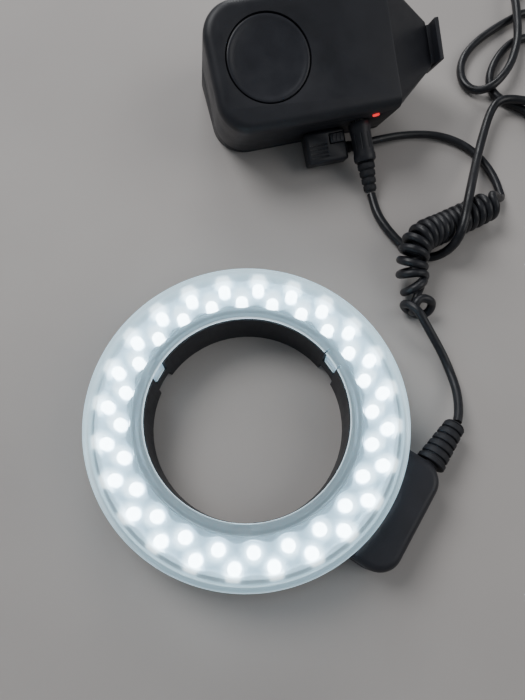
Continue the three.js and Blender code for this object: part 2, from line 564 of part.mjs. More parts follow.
function addCords(scene) {
  const cords = new THREE.Group();
  cords.position.set(RING_CENTRE[0], RING_CENTRE[1], 0);
  addPiece(cords, 'ring_lead', tube(RING_LEAD, LEAD_R, 14), SOFT_BLACK);
  addPiece(cords, 'curly_coil', tube(COIL_PATH, COIL_R, 22, 12), SOFT_BLACK);
  addPiece(cords, 'plug_lead', tube(PLUG_LEAD, LEAD_R, 24), SOFT_BLACK);
  addPiece(cords, 'dc_cord', tube(DC_CORD, DC_R, 78), SOFT_BLACK);
  const { at, inner, outer, height } = DC_COIL;
  const coil = turned([[inner, 0.3], [outer, 0.3], [outer, height], [inner, height]], 32).translate(at[0], at[1], 0);
  addPiece(cords, 'dc_coil', coil, SOFT_BLACK);
  addPiece(cords, 'dc_tail', tube(DC_TAIL, DC_R, 6), SOFT_BLACK);
  addPiece(cords, 'usb_plug', block([173.5, 185.5], [38, 64.9], [0.2, 8.2]), BLACK);
  addPiece(cords, 'usb_plug_shell', block([173.5, 185.5], [25.5, 37.7], [1.9, 6.5]), METAL);
  scene.add(cords);
}

const ringLight = new THREE.Group();
addRingHead(ringLight);
addPod(ringLight);
addControlBox(ringLight);
addCords(ringLight);

export default ringLight;
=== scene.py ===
"""Looks of the lamp ring with its control box: camera, cords, shells, lamps and materials.

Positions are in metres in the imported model's frame. Sizes written in millimetres are turned into
metres by the builders below, which work in the frame of the ring, the pod or the control box.
"""
import math

import bmesh
import bpy
from mathutils import Matrix, Vector


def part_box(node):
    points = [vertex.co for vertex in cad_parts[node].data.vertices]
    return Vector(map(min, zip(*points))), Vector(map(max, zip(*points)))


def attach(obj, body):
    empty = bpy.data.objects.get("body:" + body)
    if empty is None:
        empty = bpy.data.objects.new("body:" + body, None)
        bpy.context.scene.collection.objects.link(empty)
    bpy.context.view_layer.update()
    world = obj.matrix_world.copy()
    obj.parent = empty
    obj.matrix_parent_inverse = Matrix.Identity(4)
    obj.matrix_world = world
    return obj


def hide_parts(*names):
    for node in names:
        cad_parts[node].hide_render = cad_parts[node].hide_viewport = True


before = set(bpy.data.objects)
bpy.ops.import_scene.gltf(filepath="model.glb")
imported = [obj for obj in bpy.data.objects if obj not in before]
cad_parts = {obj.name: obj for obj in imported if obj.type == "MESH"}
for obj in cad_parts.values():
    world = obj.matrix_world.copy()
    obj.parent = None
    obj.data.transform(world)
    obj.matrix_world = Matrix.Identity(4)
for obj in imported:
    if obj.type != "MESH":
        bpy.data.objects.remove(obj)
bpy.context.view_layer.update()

MM = 0.001
TAU = 2 * math.pi


# -------- places, from the frame
def middle(node):
    low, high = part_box(node)
    return [(a + b) / 2 for a, b in zip(low, high)]


RING = Vector((middle("ring_back_plate")[0], middle("ring_back_plate")[1], 0))
BOX_AT = RING + Vector((0.0393, 0.1361, 0))
TILT = math.radians(27.5)
POD_ANGLE = math.radians(-47)

RING_FRAME = Matrix.Translation(RING) @ Matrix.Scale(MM, 4)
POD_FRAME = Matrix.Translation(RING) @ Matrix.Rotation(POD_ANGLE, 4, "Z") @ Matrix.Scale(MM, 4)
LEVEL_FRAME = Matrix.Translation(BOX_AT) @ Matrix.Scale(MM, 4)
BOX_FRAME = Matrix.Translation(BOX_AT) @ Matrix.Rotation(TILT, 4, "X") @ Matrix.Scale(MM, 4)

RIM_R = 63.0
LAMPS = 24
LAMP_ROWS = ((55.6, -18.0), (49.9, -10.5))   # radius, direction of the first lamp in degrees
SNAP_DEG = (139.5, 19.5, 254.5)

POD_OUTER, POD_ENDS, POD_TOP = 76.0, (-22.0, 24.6), 16.0
RELIEF_AT = (69.8, 24.6, 8.5)
RELIEF_LEAN = math.radians(-4.5)
RELIEF_RIBS = 5

BOX_LEFT, BOX_RIGHT = -21.5, 61.0
BOX_WIDTH, BOX_DEPTH = 56.0, 37.0
EDGE_ROUND = 4.5
WALL = 2.2
SPLIT = 3.0
NECK_X = 84.0
DIAL_AT = (4.6, 29.0)
DIAL_R = 18.3
DOOR_X, DOOR_Z = (-5.8, 47.8), (1.8, 33.4)
HINGE_AT = (58.4, 3.2)
BUTTON_AT = (55.0, 20.0)
PLUG_X, PLUG_Z = (18.3, 38.3), (9.0, 18.0)
PLUG_REACH = 15.3
DC_AT = (45.0, 20.5)
LAMP_AT = (51.4, 27.4)
FOOT_Y, FOOT_Z = 28.0, 18.5

CURLY_D, DC_D = 0.0037, 0.0042
COIL_R = 0.0054            # of the curly cord's tight turns, to the middle of the cord
CURLY_STEP = 0.0001        # along the helix's axis
LOOSE_PITCH, TIGHT_PITCH = 0.0062, 0.00385
LOOSE_LENGTH, CLOSING_LENGTH = 0.020, 0.012
LEANING_TURNS = 2.3
HELIX_START = math.radians(125)
DC_COIL_AT = Vector((0.208, 0.093, 0))
DC_COIL_R = 0.0269
DC_LAYERS = 0.0024, 0.0067

CAMERA_AT = RING + Vector((-0.00642, -0.04222, 0.2193))
CAMERA_HEADING, CAMERA_TILT, CAMERA_ROLL = -15.5, 19.1, 1.9
SHARP_EDGE = math.radians(32)


def polar(radius, angle):
    return radius * math.cos(angle), radius * math.sin(angle)


def lamp_places(row):
    radius, first = LAMP_ROWS[row]
    return [polar(radius, math.radians(first) + TAU * i / LAMPS) for i in range(LAMPS)]


# -------- camera
def make_camera():
    data = bpy.data.cameras.new("camera")
    data.lens = 27.0
    data.sensor_width = 36.0
    camera = bpy.data.objects.new("camera", data)
    heading = Matrix.Rotation(math.radians(CAMERA_HEADING), 4, "Z")
    turn = heading @ Matrix.Rotation(math.radians(CAMERA_TILT), 4, "X")
    roll = Matrix.Rotation(math.radians(CAMERA_ROLL), 4, "Z")
    camera.matrix_world = Matrix.Translation(CAMERA_AT) @ turn @ roll
    bpy.context.collection.objects.link(camera)
    bpy.context.scene.camera = camera


make_camera()


# -------- materials
class Shader:
    """A short way to build one node material."""

    def __init__(self, name, **values):
        self.material = bpy.data.materials.new(name)
        self.material.use_nodes = True
        self.tree = self.material.node_tree
        self.main = self.tree.nodes["Principled BSDF"]
        for key, value in values.items():
            self.main.inputs[key.replace("_", " ")].default_value = value
        self.place = self.node("ShaderNodeTexCoord").outputs["Object"]

    def node(self, kind, inputs=(), **settings):
        made = self.tree.nodes.new(kind)
        for key, value in settings.items():
            setattr(made, key, value)
        for key, value in inputs:
            made.inputs[key].default_value = value
        return made

    def link(self, source, target):
        self.tree.links.new(source, target)

    def math(self, operation, *values):
        made = self.node("ShaderNodeMath", operation=operation)
        for socket, value in zip(made.inputs, values):
            if isinstance(value, (int, float)):
                socket.default_value = value
            else:
                self.link(value, socket)
        return made.outputs[0]

    def times(self, a, b):
        return self.math("MULTIPLY", a, b)

    def plus(self, a, b):
        return self.math("ADD", a, b)

    def axes(self, place=None):
        made = self.node("ShaderNodeSeparateXYZ")
        self.link(place or self.place, made.inputs[0])
        return made.outputs

    def noise(self, scale, detail=3.0, roughness=0.5, place=None):
        grain = (("Scale", scale), ("Detail", detail), ("Roughness", roughness))
        made = self.node("ShaderNodeTexNoise", grain)
        self.link(place or self.place, made.inputs["Vector"])
        return made.outputs["Fac"]

    def ramp(self, source, *stops):
        made = self.node("ShaderNodeValToRGB")
        ramp = made.color_ramp
        while len(ramp.elements) < len(stops):
            ramp.elements.new(0.5)
        for element, (position, colour) in zip(ramp.elements, stops):
            element.position = position
            element.color = colour
        self.link(source, made.inputs["Fac"])
        return made.outputs["Color"]

    def spread(self, source, low, high, start, end):
        ends = (("From Min", low), ("From Max", high), ("To Min", start), ("To Max", end))
        made = self.node("ShaderNodeMapRange", ends, interpolation_type="SMOOTHSTEP")
        self.link(source, made.inputs["Value"])
        return made.outputs["Result"]

    def between(self, source, start, full, fading, end):
        """1 from full to fading, and 0 before start and after end."""
        return self.times(self.spread(source, start, full, 0, 1), self.spread(source, fading, end, 1, 0))

    def bump(self, height, strength, distance):
        made = self.node("ShaderNodeBump", (("Strength", strength), ("Distance", distance)))
        self.link(height, made.inputs["Height"])
        self.link(made.outputs["Normal"], self.main.inputs["Normal"])

    def paint(self, socket, source):
        self.link(source, self.main.inputs[socket])


def grey(value, tint=(1, 1, 1)):
    return (value * tint[0], value * tint[1], value * tint[2], 1)


COOL = (0.88, 0.93, 1.24)
MIX_A, MIX_B, MIX_OUT = 6, 7, 2       # colour sockets of a Mix node


def moulded(name, value, roughness, grain=2600, depth=0.00003, dust=0.25):
    """Moulded plastic: fine spark texture, patchy sheen from handling, and a little dust."""
    s = Shader(name, Specular_IOR_Level=0.5)
    patches = s.noise(70, 4, 0.6)
    specks = s.noise(5200, 1, 0.4)
    grains = s.noise(grain, 2, 0.55)
    colour = s.ramp(patches, (0.3, grey(value * 0.82, COOL)), (0.75, grey(value * 1.22, COOL)))
    mix = s.node("ShaderNodeMix", ((MIX_B, grey(value * 1.5 + 0.07)),), data_type="RGBA")
    s.link(s.spread(specks, 0.68, 0.78, 0.0, dust), mix.inputs[0])
    s.link(colour, mix.inputs[MIX_A])
    s.paint("Base Color", mix.outputs[MIX_OUT])
    s.paint("Roughness", s.spread(patches, 0.25, 0.8, roughness - 0.07, roughness + 0.09))
    s.bump(grains, 0.45, depth)
    return s.material


def jacket(name, value, roughness):
    """Cord jacket: smooth extruded PVC with faint streaks, scuffs and dust."""
    s = Shader(name, Specular_IOR_Level=0.55)
    scuffs = s.noise(420, 5, 0.65)
    fine = s.noise(3400, 2, 0.5)
    s.paint("Base Color", s.ramp(scuffs, (0.35, grey(value * 0.8, COOL)), (0.8, grey(value * 1.7, COOL))))
    s.paint("Roughness", s.spread(scuffs, 0.3, 0.8, roughness - 0.08, roughness + 0.14))
    s.bump(fine, 0.3, 0.00003)
    return s.material


def metal(name, colour, roughness, stretch=(1, 1, 1)):
    """Plated or brushed metal with fine directional scratches."""
    s = Shader(name, Metallic=1.0)
    mapping = s.node("ShaderNodeMapping", (("Scale", stretch),))
    s.link(s.place, mapping.inputs["Vector"])
    scratches = s.noise(1800, 4, 0.6, mapping.outputs["Vector"])
    tarnish = s.noise(160, 3, 0.5)
    dark = tuple(channel * 0.78 for channel in colour) + (1,)
    s.paint("Base Color", s.ramp(tarnish, (0.3, dark), (0.7, tuple(colour) + (1,))))
    s.paint("Roughness", s.spread(scratches, 0.3, 0.7, roughness - 0.08, roughness + 0.14))
    s.bump(scratches, 0.2, 0.00001)
    return s.material


def board(name, colour):
    """Circuit board: solder mask over copper tracks, and small pads."""
    s = Shader(name, Roughness=0.32, Coat_Weight=0.35, Coat_Roughness=0.15)
    darker = tuple(c * 0.8 for c in colour) + (1,)
    copper = tuple(min(1, c * 1.6 + 0.02) for c in colour) + (1,)
    tracks = s.node("ShaderNodeTexBrick", (
        ("Scale", 320), ("Mortar Size", 0.012), ("Color1", colour + (1,)), ("Color2", darker),
        ("Mortar", copper)))
    s.link(s.place, tracks.inputs["Vector"])
    s.paint("Base Color", tracks.outputs["Color"])
    s.bump(tracks.outputs["Fac"], 0.3, 0.00005)
    return s.material


def lamp_field(s):
    """From above, in metres: the distance from the ring's axis, and for each lamp row the distance to
    the nearest lamp's axis and the part of it that runs round the ring."""
    shift = s.node("ShaderNodeVectorMath", ((1, RING),), operation="SUBTRACT")
    s.link(s.place, shift.inputs[0])
    x, y, _ = s.axes(shift.outputs[0])
    radius = s.math("SQRT", s.plus(s.times(x, x), s.times(y, y)))
    angle = s.math("ARCTAN2", y, x)
    fields = []
    for row_radius, first in LAMP_ROWS:
        turn = s.times(s.math("SUBTRACT", angle, math.radians(first)), LAMPS / TAU)
        part = s.math("SUBTRACT", turn, s.math("ROUND", turn))
        side = s.math("ABSOLUTE", s.times(s.times(part, TAU / LAMPS), radius))
        out = s.math("SUBTRACT", radius, row_radius * MM)
        fields.append((s.math("SQRT", s.plus(s.times(side, side), s.times(out, out))), side))
    return radius, fields


def painted_light_streak_mask(s, radius, side):
    """1 on the stretch of the outer wall that faces a lamp, as seen from above: a mask for painted lamp
    light.
    """
    return s.times(s.spread(side, 0.0016, 0.0034, 1, 0), s.between(radius, 0.0548, 0.0562, 0.0588, 0.0602))


def make_diffuser_material():
    """Milky acrylic that lets the lamps through as soft spots, with a painted glow round them and painted
    highlights at its edges.
    """
    s = Shader("diffuser_acrylic", Roughness=0.32, IOR=1.12, Transmission_Weight=0.86,
               Specular_IOR_Level=0.5, Emission_Strength=1.0)
    radius, ((outer, outer_side), (inner, _)) = lamp_field(s)
    cloud = s.noise(900, 3, 0.6)
    # Painted lamp light in the emission: a glow round each lamp and a streak on the outer wall that faces
    # it, over the lamp rows only.
    near = s.math("MAXIMUM", s.spread(outer, 0.0020, 0.0056, 1, 0), s.spread(inner, 0.0020, 0.0052, 1, 0))
    streak = s.times(painted_light_streak_mask(s, radius, outer_side), 0.55)
    over_lamps = s.between(radius, 0.0435, 0.0475, 0.0575, 0.0605)
    glow = s.times(s.plus(s.times(near, 0.72), 0.02), over_lamps)
    # Painted highlights at the bore and rim edges and a faint painted glow over the outer band; rim is the
    # sum of all this painted light.
    painted_bore_highlight, painted_rim_highlight = s.spread(radius, 0.0399, 0.0403, 0.6, 0), s.spread(radius, 0.0622, 0.0629, 0, 0.4)
    painted_outer_glow = s.spread(radius, 0.058, 0.0605, 0.1, 0.2)
    rim = s.plus(s.plus(glow, streak), s.plus(s.plus(painted_bore_highlight, painted_rim_highlight), painted_outer_glow))
    s.paint("Emission Color", s.ramp(rim, (0, (0.0, 0.0, 0.0, 1)), (0.35, (0.2, 0.3, 0.36, 1)),
                                     (1, (0.82, 0.95, 1.0, 1))))
    s.paint("Base Color", s.ramp(cloud, (0.3, (0.78, 0.9, 0.95, 1)), (0.7, (0.9, 0.97, 1.0, 1))))
    s.bump(cloud, 0.12, 0.00004)
    return s.material


def make_lamp_material():
    """Clear lamp body, hottest in its dome, a little blue at its foot."""
    s = Shader("lamp_glow", Roughness=0.2, Base_Color=(0.95, 0.98, 1, 1))
    heat = s.spread(s.axes()[2], 0.009, 0.0145, 0.25, 1)
    s.paint("Emission Color", s.ramp(heat, (0, (0.45, 0.7, 1.0, 1)), (1, (0.93, 0.98, 1, 1))))
    s.paint("Emission Strength", s.spread(heat, 0, 1, 0.8, 12.0))
    return s.material


def make_tray_material():
    """White reflector that the lamps stand in, with painted lamp light in its emission: round each lamp, on
    the outer wall facing it and along the outer wall's crest.
    """
    s = Shader("reflector_white", Roughness=0.35, Emission_Strength=1.0)
    radius, ((outer, outer_side), (inner, _)) = lamp_field(s)
    # Painted lamp light in the emission: round each lamp, on the outer wall that faces it and along the top
    # of the outer wall, with a faint painted glow elsewhere.
    near = s.math("MAXIMUM", s.spread(outer, 0.002, 0.006, 1, 0), s.spread(inner, 0.002, 0.006, 1, 0))
    high_up = s.spread(s.axes()[2], 0.0186, 0.0191, 0, 0.9)
    painted_crest_light = s.times(high_up, s.spread(radius, 0.054, 0.0565, 0, 1))
    lit = s.math("MAXIMUM", s.math("MAXIMUM", near, painted_light_streak_mask(s, radius, outer_side)), painted_crest_light)
    shade = s.noise(1500, 2, 0.5)
    s.paint("Base Color", s.ramp(shade, (0.3, (0.24, 0.31, 0.36, 1)), (0.7, (0.31, 0.38, 0.43, 1))))
    s.paint("Emission Color", s.ramp(lit, (0, (0.02, 0.035, 0.05, 1)), (1, (0.5, 0.62, 0.72, 1))))
    s.bump(shade, 0.1, 0.00003)
    return s.material


def make_indicator_material():
    """Red lens, lit from inside, its red varied by a fine noise."""
    s = Shader("indicator_lens", Roughness=0.15, Base_Color=(0.6, 0.01, 0.02, 1), Emission_Strength=1.3)
    ripple = s.noise(2500, 2, 0.5)
    s.paint("Emission Color", s.ramp(ripple, (0.2, (0.8, 0.01, 0.02, 1)), (0.9, (1, 0.06, 0.05, 1))))
    return s.material


def make_cell_material():
    """Printed battery sleeve with a bright band and no lettering, over a metal end."""
    s = Shader("cell_sleeve", Roughness=0.25, Metallic=0.35, Coat_Weight=0.4, Coat_Roughness=0.1)
    along = s.math("SUBTRACT", s.axes()[0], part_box("battery_cell_1")[0][0])
    band = s.ramp(s.times(along, 20), (0.0, (0.03, 0.045, 0.06, 1)), (0.7, (0.03, 0.05, 0.07, 1)),
                  (0.72, (0.75, 0.42, 0.09, 1)), (0.95, (0.8, 0.8, 0.82, 1)))
    band.node.color_ramp.interpolation = "CONSTANT"
    s.paint("Base Color", band)
    s.paint("Roughness", s.spread(s.noise(800, 3, 0.6), 0.3, 0.7, 0.2, 0.34))
    return s.material


SHELL = moulded("shell_plastic", 0.021, 0.47)
DIAL = moulded("dial_plastic", 0.026, 0.4, grain=4200, depth=0.000015)
INNER = moulded("inner_plastic", 0.018, 0.6, dust=0.1)
PLUG = moulded("plug_plastic", 0.02, 0.42, grain=3600, depth=0.00002)
RELIEF = moulded("relief_rubber", 0.016, 0.62, grain=5000, depth=0.00002, dust=0.35)
CORD = jacket("curly_jacket", 0.014, 0.42)
DC_CORD_LOOK = jacket("dc_jacket", 0.011, 0.36)
STEEL = metal("plated_steel", (0.62, 0.63, 0.65), 0.32, stretch=(1, 8, 1))
CONTACT = metal("nickel_contact", (0.75, 0.75, 0.74), 0.24, stretch=(6, 1, 1))
GOLD = metal("gold_contact", (0.86, 0.66, 0.3), 0.22)
GREEN = board("board_green", (0.02, 0.12, 0.05))
WHITE_BOARD = board("board_white", (0.8, 0.83, 0.85))
DIFFUSER = make_diffuser_material()
LAMP = make_lamp_material()
TRAY = make_tray_material()
INDICATOR = make_indicator_material()
CELL = make_cell_material()


# -------- mesh builders
def finish_piece(piece, body, material, stands_for=()):
    """Common end of every mesh piece: look, body and the CAD nodes that it stands for."""
    piece.data.materials.clear()
    piece.data.materials.append(material)
    piece.data.shade_smooth()
    piece.data.set_sharp_from_angle(angle=SHARP_EDGE)
    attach(piece, body)
    if stands_for:
        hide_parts(*stands_for)


def to_object(name, mesh_builder, matrix):
    """An object from a bmesh whose points are in a local frame, in millimetres."""
    bmesh.ops.recalc_face_normals(mesh_builder, faces=mesh_builder.faces)
    mesh = bpy.data.meshes.new(name)
    mesh_builder.to_mesh(mesh)
    mesh_builder.free()
    mesh.transform(matrix)
    made = bpy.data.objects.new(name, mesh)
    bpy.context.collection.objects.link(made)
    return made


def skin(loops, closed_along, cap_ends):
    """Joins equal loops of points by quads, into a bmesh."""
    bm = bmesh.new()
    rows = [[bm.verts.new(point) for point in loop] for loop in loops]
    pairs = list(zip(rows, rows[1:]))
    if closed_along:
        pairs.append((rows[-1], rows[0]))
    for first, second in pairs:
        for i in range(len(first)):
            j = (i + 1) % len(first)
            bm.faces.new((first[i], first[j], second[j], second[i]))
    if cap_ends:
        bm.faces.new(list(reversed(rows[0])))
        bm.faces.new(rows[-1])
    return bm


def turned(section, steps=288):
    """A closed profile of [radius, height] points, which section(angle) gives, turned about Z."""
    loops = []
    for i in range(steps):
        angle = TAU * i / steps
        loops.append([(*polar(r, angle), z) for r, z in section(angle)])
    return skin(loops, True, False)


def spun(profile, steps=48, axis="z", at=(0, 0)):
    """A solid of revolution whose profile starts and ends on its axis: [radius, along] points."""
    loops = [[(*polar(r, TAU * i / steps), along) for i in range(steps)] for r, along in profile if r > 1e-6]
    bm = skin(loops, False, True)
    if axis == "x":
        turn = Matrix(((0, 0, 1, 0), (1, 0, 0, at[0]), (0, 1, 0, at[1]), (0, 0, 0, 1)))
    elif axis == "y":
        turn = Matrix(((0, 1, 0, at[0]), (0, 0, 1, 0), (1, 0, 0, at[1]), (0, 0, 0, 1)))
    else:
        turn = Matrix.Translation((at[0], at[1], 0))
    bm.transform(turn)
    return bm


def cylinder(axis, radius, ends, at=(0, 0), steps=48):
    return spun([(0, ends[0]), (radius, ends[0]), (radius, ends[1]), (0, ends[1])], steps, axis, at)


def block(x, y, z, round_by=0.0, segments=3):
    """A box with all its edges rounded."""
    bm = bmesh.new()
    size = Matrix.Diagonal((x[1] - x[0], y[1] - y[0], z[1] - z[0], 1))
    centre = Matrix.Translation(((x[0] + x[1]) / 2, (y[0] + y[1]) / 2, (z[0] + z[1]) / 2))
    bmesh.ops.create_cube(bm, size=1, matrix=centre @ size)
    if round_by:
        bmesh.ops.bevel(bm, geom=list(bm.edges), offset=round_by, segments=segments, profile=0.5,
                        affect="EDGES")
    return bm


def merge(*parts):
    """Several bmeshes in one."""
    first = parts[0]
    for part in parts[1:]:
        mesh = bpy.data.meshes.new("part")
        part.to_mesh(mesh)
        part.free()
        first.from_mesh(mesh)
        bpy.data.meshes.remove(mesh)
    return first


def turn_z(bm, degrees):
    bm.transform(Matrix.Rotation(math.radians(degrees), 4, "Z"))
    return bm


def apply_modifiers(target):
    graph = bpy.context.evaluated_depsgraph_get()
    mesh = bpy.data.meshes.new_from_object(target.evaluated_get(graph))
    target.modifiers.clear()
    target.data = mesh


def soften(target, width):
    """Rounds the sharp edges that moulding leaves; width is in millimetres."""
    modifier = target.modifiers.new("bevel", "BEVEL")
    modifier.width = width * MM
    modifier.segments = 2
    modifier.limit_method = "ANGLE"
    modifier.angle_limit = math.radians(30)
    apply_modifiers(target)


def boolean(target, tool, operation):
    """Exact boolean of one object with another, which is used up."""
    modifier = target.modifiers.new("boolean", "BOOLEAN")
    modifier.operation = operation
    modifier.solver = "EXACT"
    modifier.object = tool
    apply_modifiers(target)
    bpy.data.objects.remove(tool)


def cut(target, matrix, *parts):
    for part in parts:
        boolean(target, to_object("tool", part, matrix), "DIFFERENCE")


def add(target, matrix, *parts):
    for part in parts:
        boolean(target, to_object("tool", part, matrix), "UNION")


# -------- cords
RING_LEAD = (
    (0.0829, -0.0205, 0.0084), (0.0851, -0.0172, 0.0074), (0.0876, -0.0118, 0.0056),
    (0.0893, -0.0065, 0.0039), (0.0901, -0.001, 0.0026), (0.0901, 0.0045, 0.0024), (0.0893, 0.0095, 0.0034),
    (0.0877, 0.014, 0.0056), (0.086, 0.0182, 0.0078), (0.0844, 0.0222, 0.0098), (0.0828, 0.026, 0.0114),
    (0.0817, 0.0282, 0.012),
)
COIL_PATH = (
    (0.0828, 0.0288, 0.0079), (0.0836, 0.0309, 0.0079), (0.0852, 0.034, 0.0079), (0.0865, 0.0373, 0.0079),
    (0.0866, 0.0424, 0.008), (0.0868, 0.0474, 0.0087), (0.0886, 0.0538, 0.0116), (0.0922, 0.0598, 0.0129),
    (0.0982, 0.0634, 0.0122), (0.1067, 0.0661, 0.0097), (0.1158, 0.069, 0.0079),
    (0.1242, 0.071, 0.0078), (0.1343, 0.0737, 0.0078),
)
# turn, heading of its plane in degrees, reach across and reach up
LOOSE_TURNS = (
    (0.0, -54, 0.0062, 0.0047), (0.35, -52, 0.0066, 0.0046), (0.75, -5, 0.0064, 0.0046),
    (1.1, 50, 0.0062, 0.0046), (1.6, 50, 0.0058, 0.005), (2.3, 9, 0.0055, 0.0054), (3.3, -8, 0.0054, 0.0054),
)
PLUG_LEAD = (
    (0.1348, 0.0733, 0.0029), (0.1398, 0.0736, 0.0022), (0.144, 0.0768, 0.002), (0.1464, 0.082, 0.002),
    (0.147, 0.09, 0.002), (0.1462, 0.098, 0.002), (0.1434, 0.1068, 0.002), (0.1386, 0.1144, 0.002),
    (0.1316, 0.1204, 0.002), (0.1226, 0.1242, 0.0022), (0.11, 0.1259, 0.003), (0.098, 0.1246, 0.005),
    (0.089, 0.1231, 0.0064), (0.0839, 0.1226, 0.0065),
)
DC_ROUTE = (
    (0.0843, 0.0957, 0.0025), (0.084, 0.091, 0.0023), (0.0839, 0.084, 0.0023), (0.086, 0.0754, 0.0023),
    (0.0894, 0.067, 0.0023), (0.0936, 0.0606, 0.0023), (0.0986, 0.0566, 0.0025), (0.1044, 0.0552, 0.0052),
    (0.1098, 0.0564, 0.0112), (0.1136, 0.0614, 0.0164), (0.1182, 0.07, 0.0177), (0.1246, 0.08, 0.0158),
    (0.1332, 0.092, 0.0106), (0.1416, 0.1042, 0.007), (0.1494, 0.116, 0.0068), (0.1566, 0.126, 0.0068),
    (0.1634, 0.1322, 0.007), (0.1706, 0.132, 0.007), (0.1786, 0.1286, 0.007), (0.192, 0.1266, 0.006),
    (0.206, 0.133, 0.003), (0.218, 0.147, 0.0023), (0.2256, 0.166, 0.0023), (0.227, 0.187, 0.0023),
    (0.221, 0.203, 0.0023), (0.2106, 0.2096, 0.0034), (0.2026, 0.205, 0.006), (0.1998, 0.196, 0.0069),
    (0.1948, 0.1814, 0.0069), (0.189, 0.168, 0.0069), (0.1798, 0.1546, 0.0069), (0.1708, 0.1464, 0.0069),
    (0.1634, 0.1427, 0.0054), (0.1572, 0.1447, 0.0029), (0.1537, 0.1514, 0.0023), (0.1556, 0.1616, 0.0023),
    (0.1636, 0.172, 0.0023), (0.178, 0.1814, 0.0023), (0.197, 0.1894, 0.0023), (0.208, 0.192, 0.0023),
    (0.215, 0.1864, 0.0023), (0.2126, 0.178, 0.0023), (0.2026, 0.1742, 0.0023), (0.1916, 0.1734, 0.0023),
    (0.1794, 0.1654, 0.0023), (0.1706, 0.1554, 0.0023), (0.1664, 0.1456, 0.0023), (0.1684, 0.137, 0.0023),
    (0.175, 0.1308, 0.0023), (0.1796, 0.1246, 0.0023), (0.181, 0.1128, 0.0023),
)
DC_TAIL = (
    (0.1812, 0.0756, 0.0062), (0.1808, 0.072, 0.0052), (0.18, 0.0684, 0.0045), (0.1795, 0.0655, 0.0042),
)
LEAD_TRIM = 5              # last steps of the ring lead that the curve into the coil replaces
UNDER_COIL = 3             # first points of PLUG_LEAD that the curve out of the coil replaces


def placed(points):
    return [RING + Vector(p) for p in points]


def smooth_path(points, step=0.0015):
    """Even points on a Catmull-Rom curve through the given ones."""
    control = [Vector(p) for p in points]
    control = [2 * control[0] - control[1]] + control + [2 * control[-1] - control[-2]]
    fine = []
    for a, b, c, d in zip(control, control[1:], control[2:], control[3:]):
        for i in range(16):
            t = i / 16
            fine.append(0.5 * (2 * b + (c - a) * t + (2 * a - 5 * b + 4 * c - d) * t * t
                               + (3 * b - a - 3 * c + d) * t ** 3))
    fine.append(control[-2])
    return resample(fine, step)


def resample(points, step):
    even = [points[0]]
    left = step
    for a, b in zip(points, points[1:]):
        length = (b - a).length
        done = 0.0
        while length - done >= left > 0:
            done += left
            even.append(a.lerp(b, done / length))
            left = step
        left -= length - done
    if (even[-1] - points[-1]).length > step * 0.3:
        even.append(points[-1])
    return even


def relax(points, rounds):
    """Takes small kinks out of a path and keeps its ends."""
    for _ in range(rounds):
        inner = [b.lerp((a + c) / 2, 0.5) for a, b, c in zip(points, points[1:], points[2:])]
        points = [points[0]] + inner + [points[-1]]
    return points


def loose_turn(turn):
    """Heading and reaches of the helix at a turn, eased between the rows of LOOSE_TURNS."""
    for low, high in zip(LOOSE_TURNS, LOOSE_TURNS[1:]):
        if turn < high[0]:
            part = (turn - low[0]) / (high[0] - low[0])
            part = part * part * (3 - 2 * part)
            return [a + (b - a) * part for a, b in zip(low[1:], high[1:])]
    return LOOSE_TURNS[-1][1:]


def curly_pitch(travelled):
    """Loose turns first, which close up over CLOSING_LENGTH."""
    closed = min(1.0, max(0.0, (travelled - LOOSE_LENGTH) / CLOSING_LENGTH))
    return LOOSE_PITCH - (LOOSE_PITCH - TIGHT_PITCH) * closed


def bridge(before, after, step=0.0004):
    """A smooth curve from the end of one path to the start of the next, along both."""
    start, end = before[-1], after[0]
    steps = max(4, round((end - start).length / step))
    pull = 0.42 * (end - start).length
    a = start + (start - before[-2]).normalized() * pull
    b = end - (after[1] - end).normalized() * pull
    curve = []
    for i in range(1, steps):
        t = i / steps
        u = 1 - t
        curve.append(u ** 3 * start + 3 * u * u * t * a + 3 * u * t * t * b + t ** 3 * end)
    return curve


def helix_points():
    """The coiled stretch: loose turns that lean at first, then tight even ones."""
    axis = smooth_path(COIL_PATH, CURLY_STEP)
    turn = 0.0
    turns = []
    for i, point in enumerate(axis):
        along = axis[min(i + 1, len(axis) - 1)] - axis[max(i - 1, 0)]
        heading, across, up = loose_turn(turn)
        tight = min(1.0, max(0.0, turn - LEANING_TURNS))
        square = Vector((along.y, -along.x, 0)).normalized()
        leaning = Vector((*polar(1, math.radians(heading)), 0))
        side = leaning.lerp(square, tight).normalized()
        rise = Vector((0, 0, 1)).lerp(side.cross(along.normalized()), tight).normalized()
        angle = HELIX_START + TAU * turn
        sag = Vector((0, 0, COIL_R - up))
        turns.append(point + across * math.cos(angle) * side + up * math.sin(angle) * rise - sag)
        turn += CURLY_STEP / curly_pitch(i * CURLY_STEP)
    return turns


def curly_points():
    """The link cord: a straight lead, a helix, loose at first and tight after, and a straight lead."""
    helix = placed(helix_points())
    lead_in = smooth_path(placed(RING_LEAD))[:-LEAD_TRIM]
    lead_out = smooth_path(placed(PLUG_LEAD[UNDER_COIL:]))
    joined, left = bridge(lead_in, helix), bridge(helix, lead_out)
    lowest = CURLY_D / 2 + 0.0001
    return [Vector((p.x, p.y, max(p.z, lowest))) for p in lead_in + joined + helix + left + lead_out]


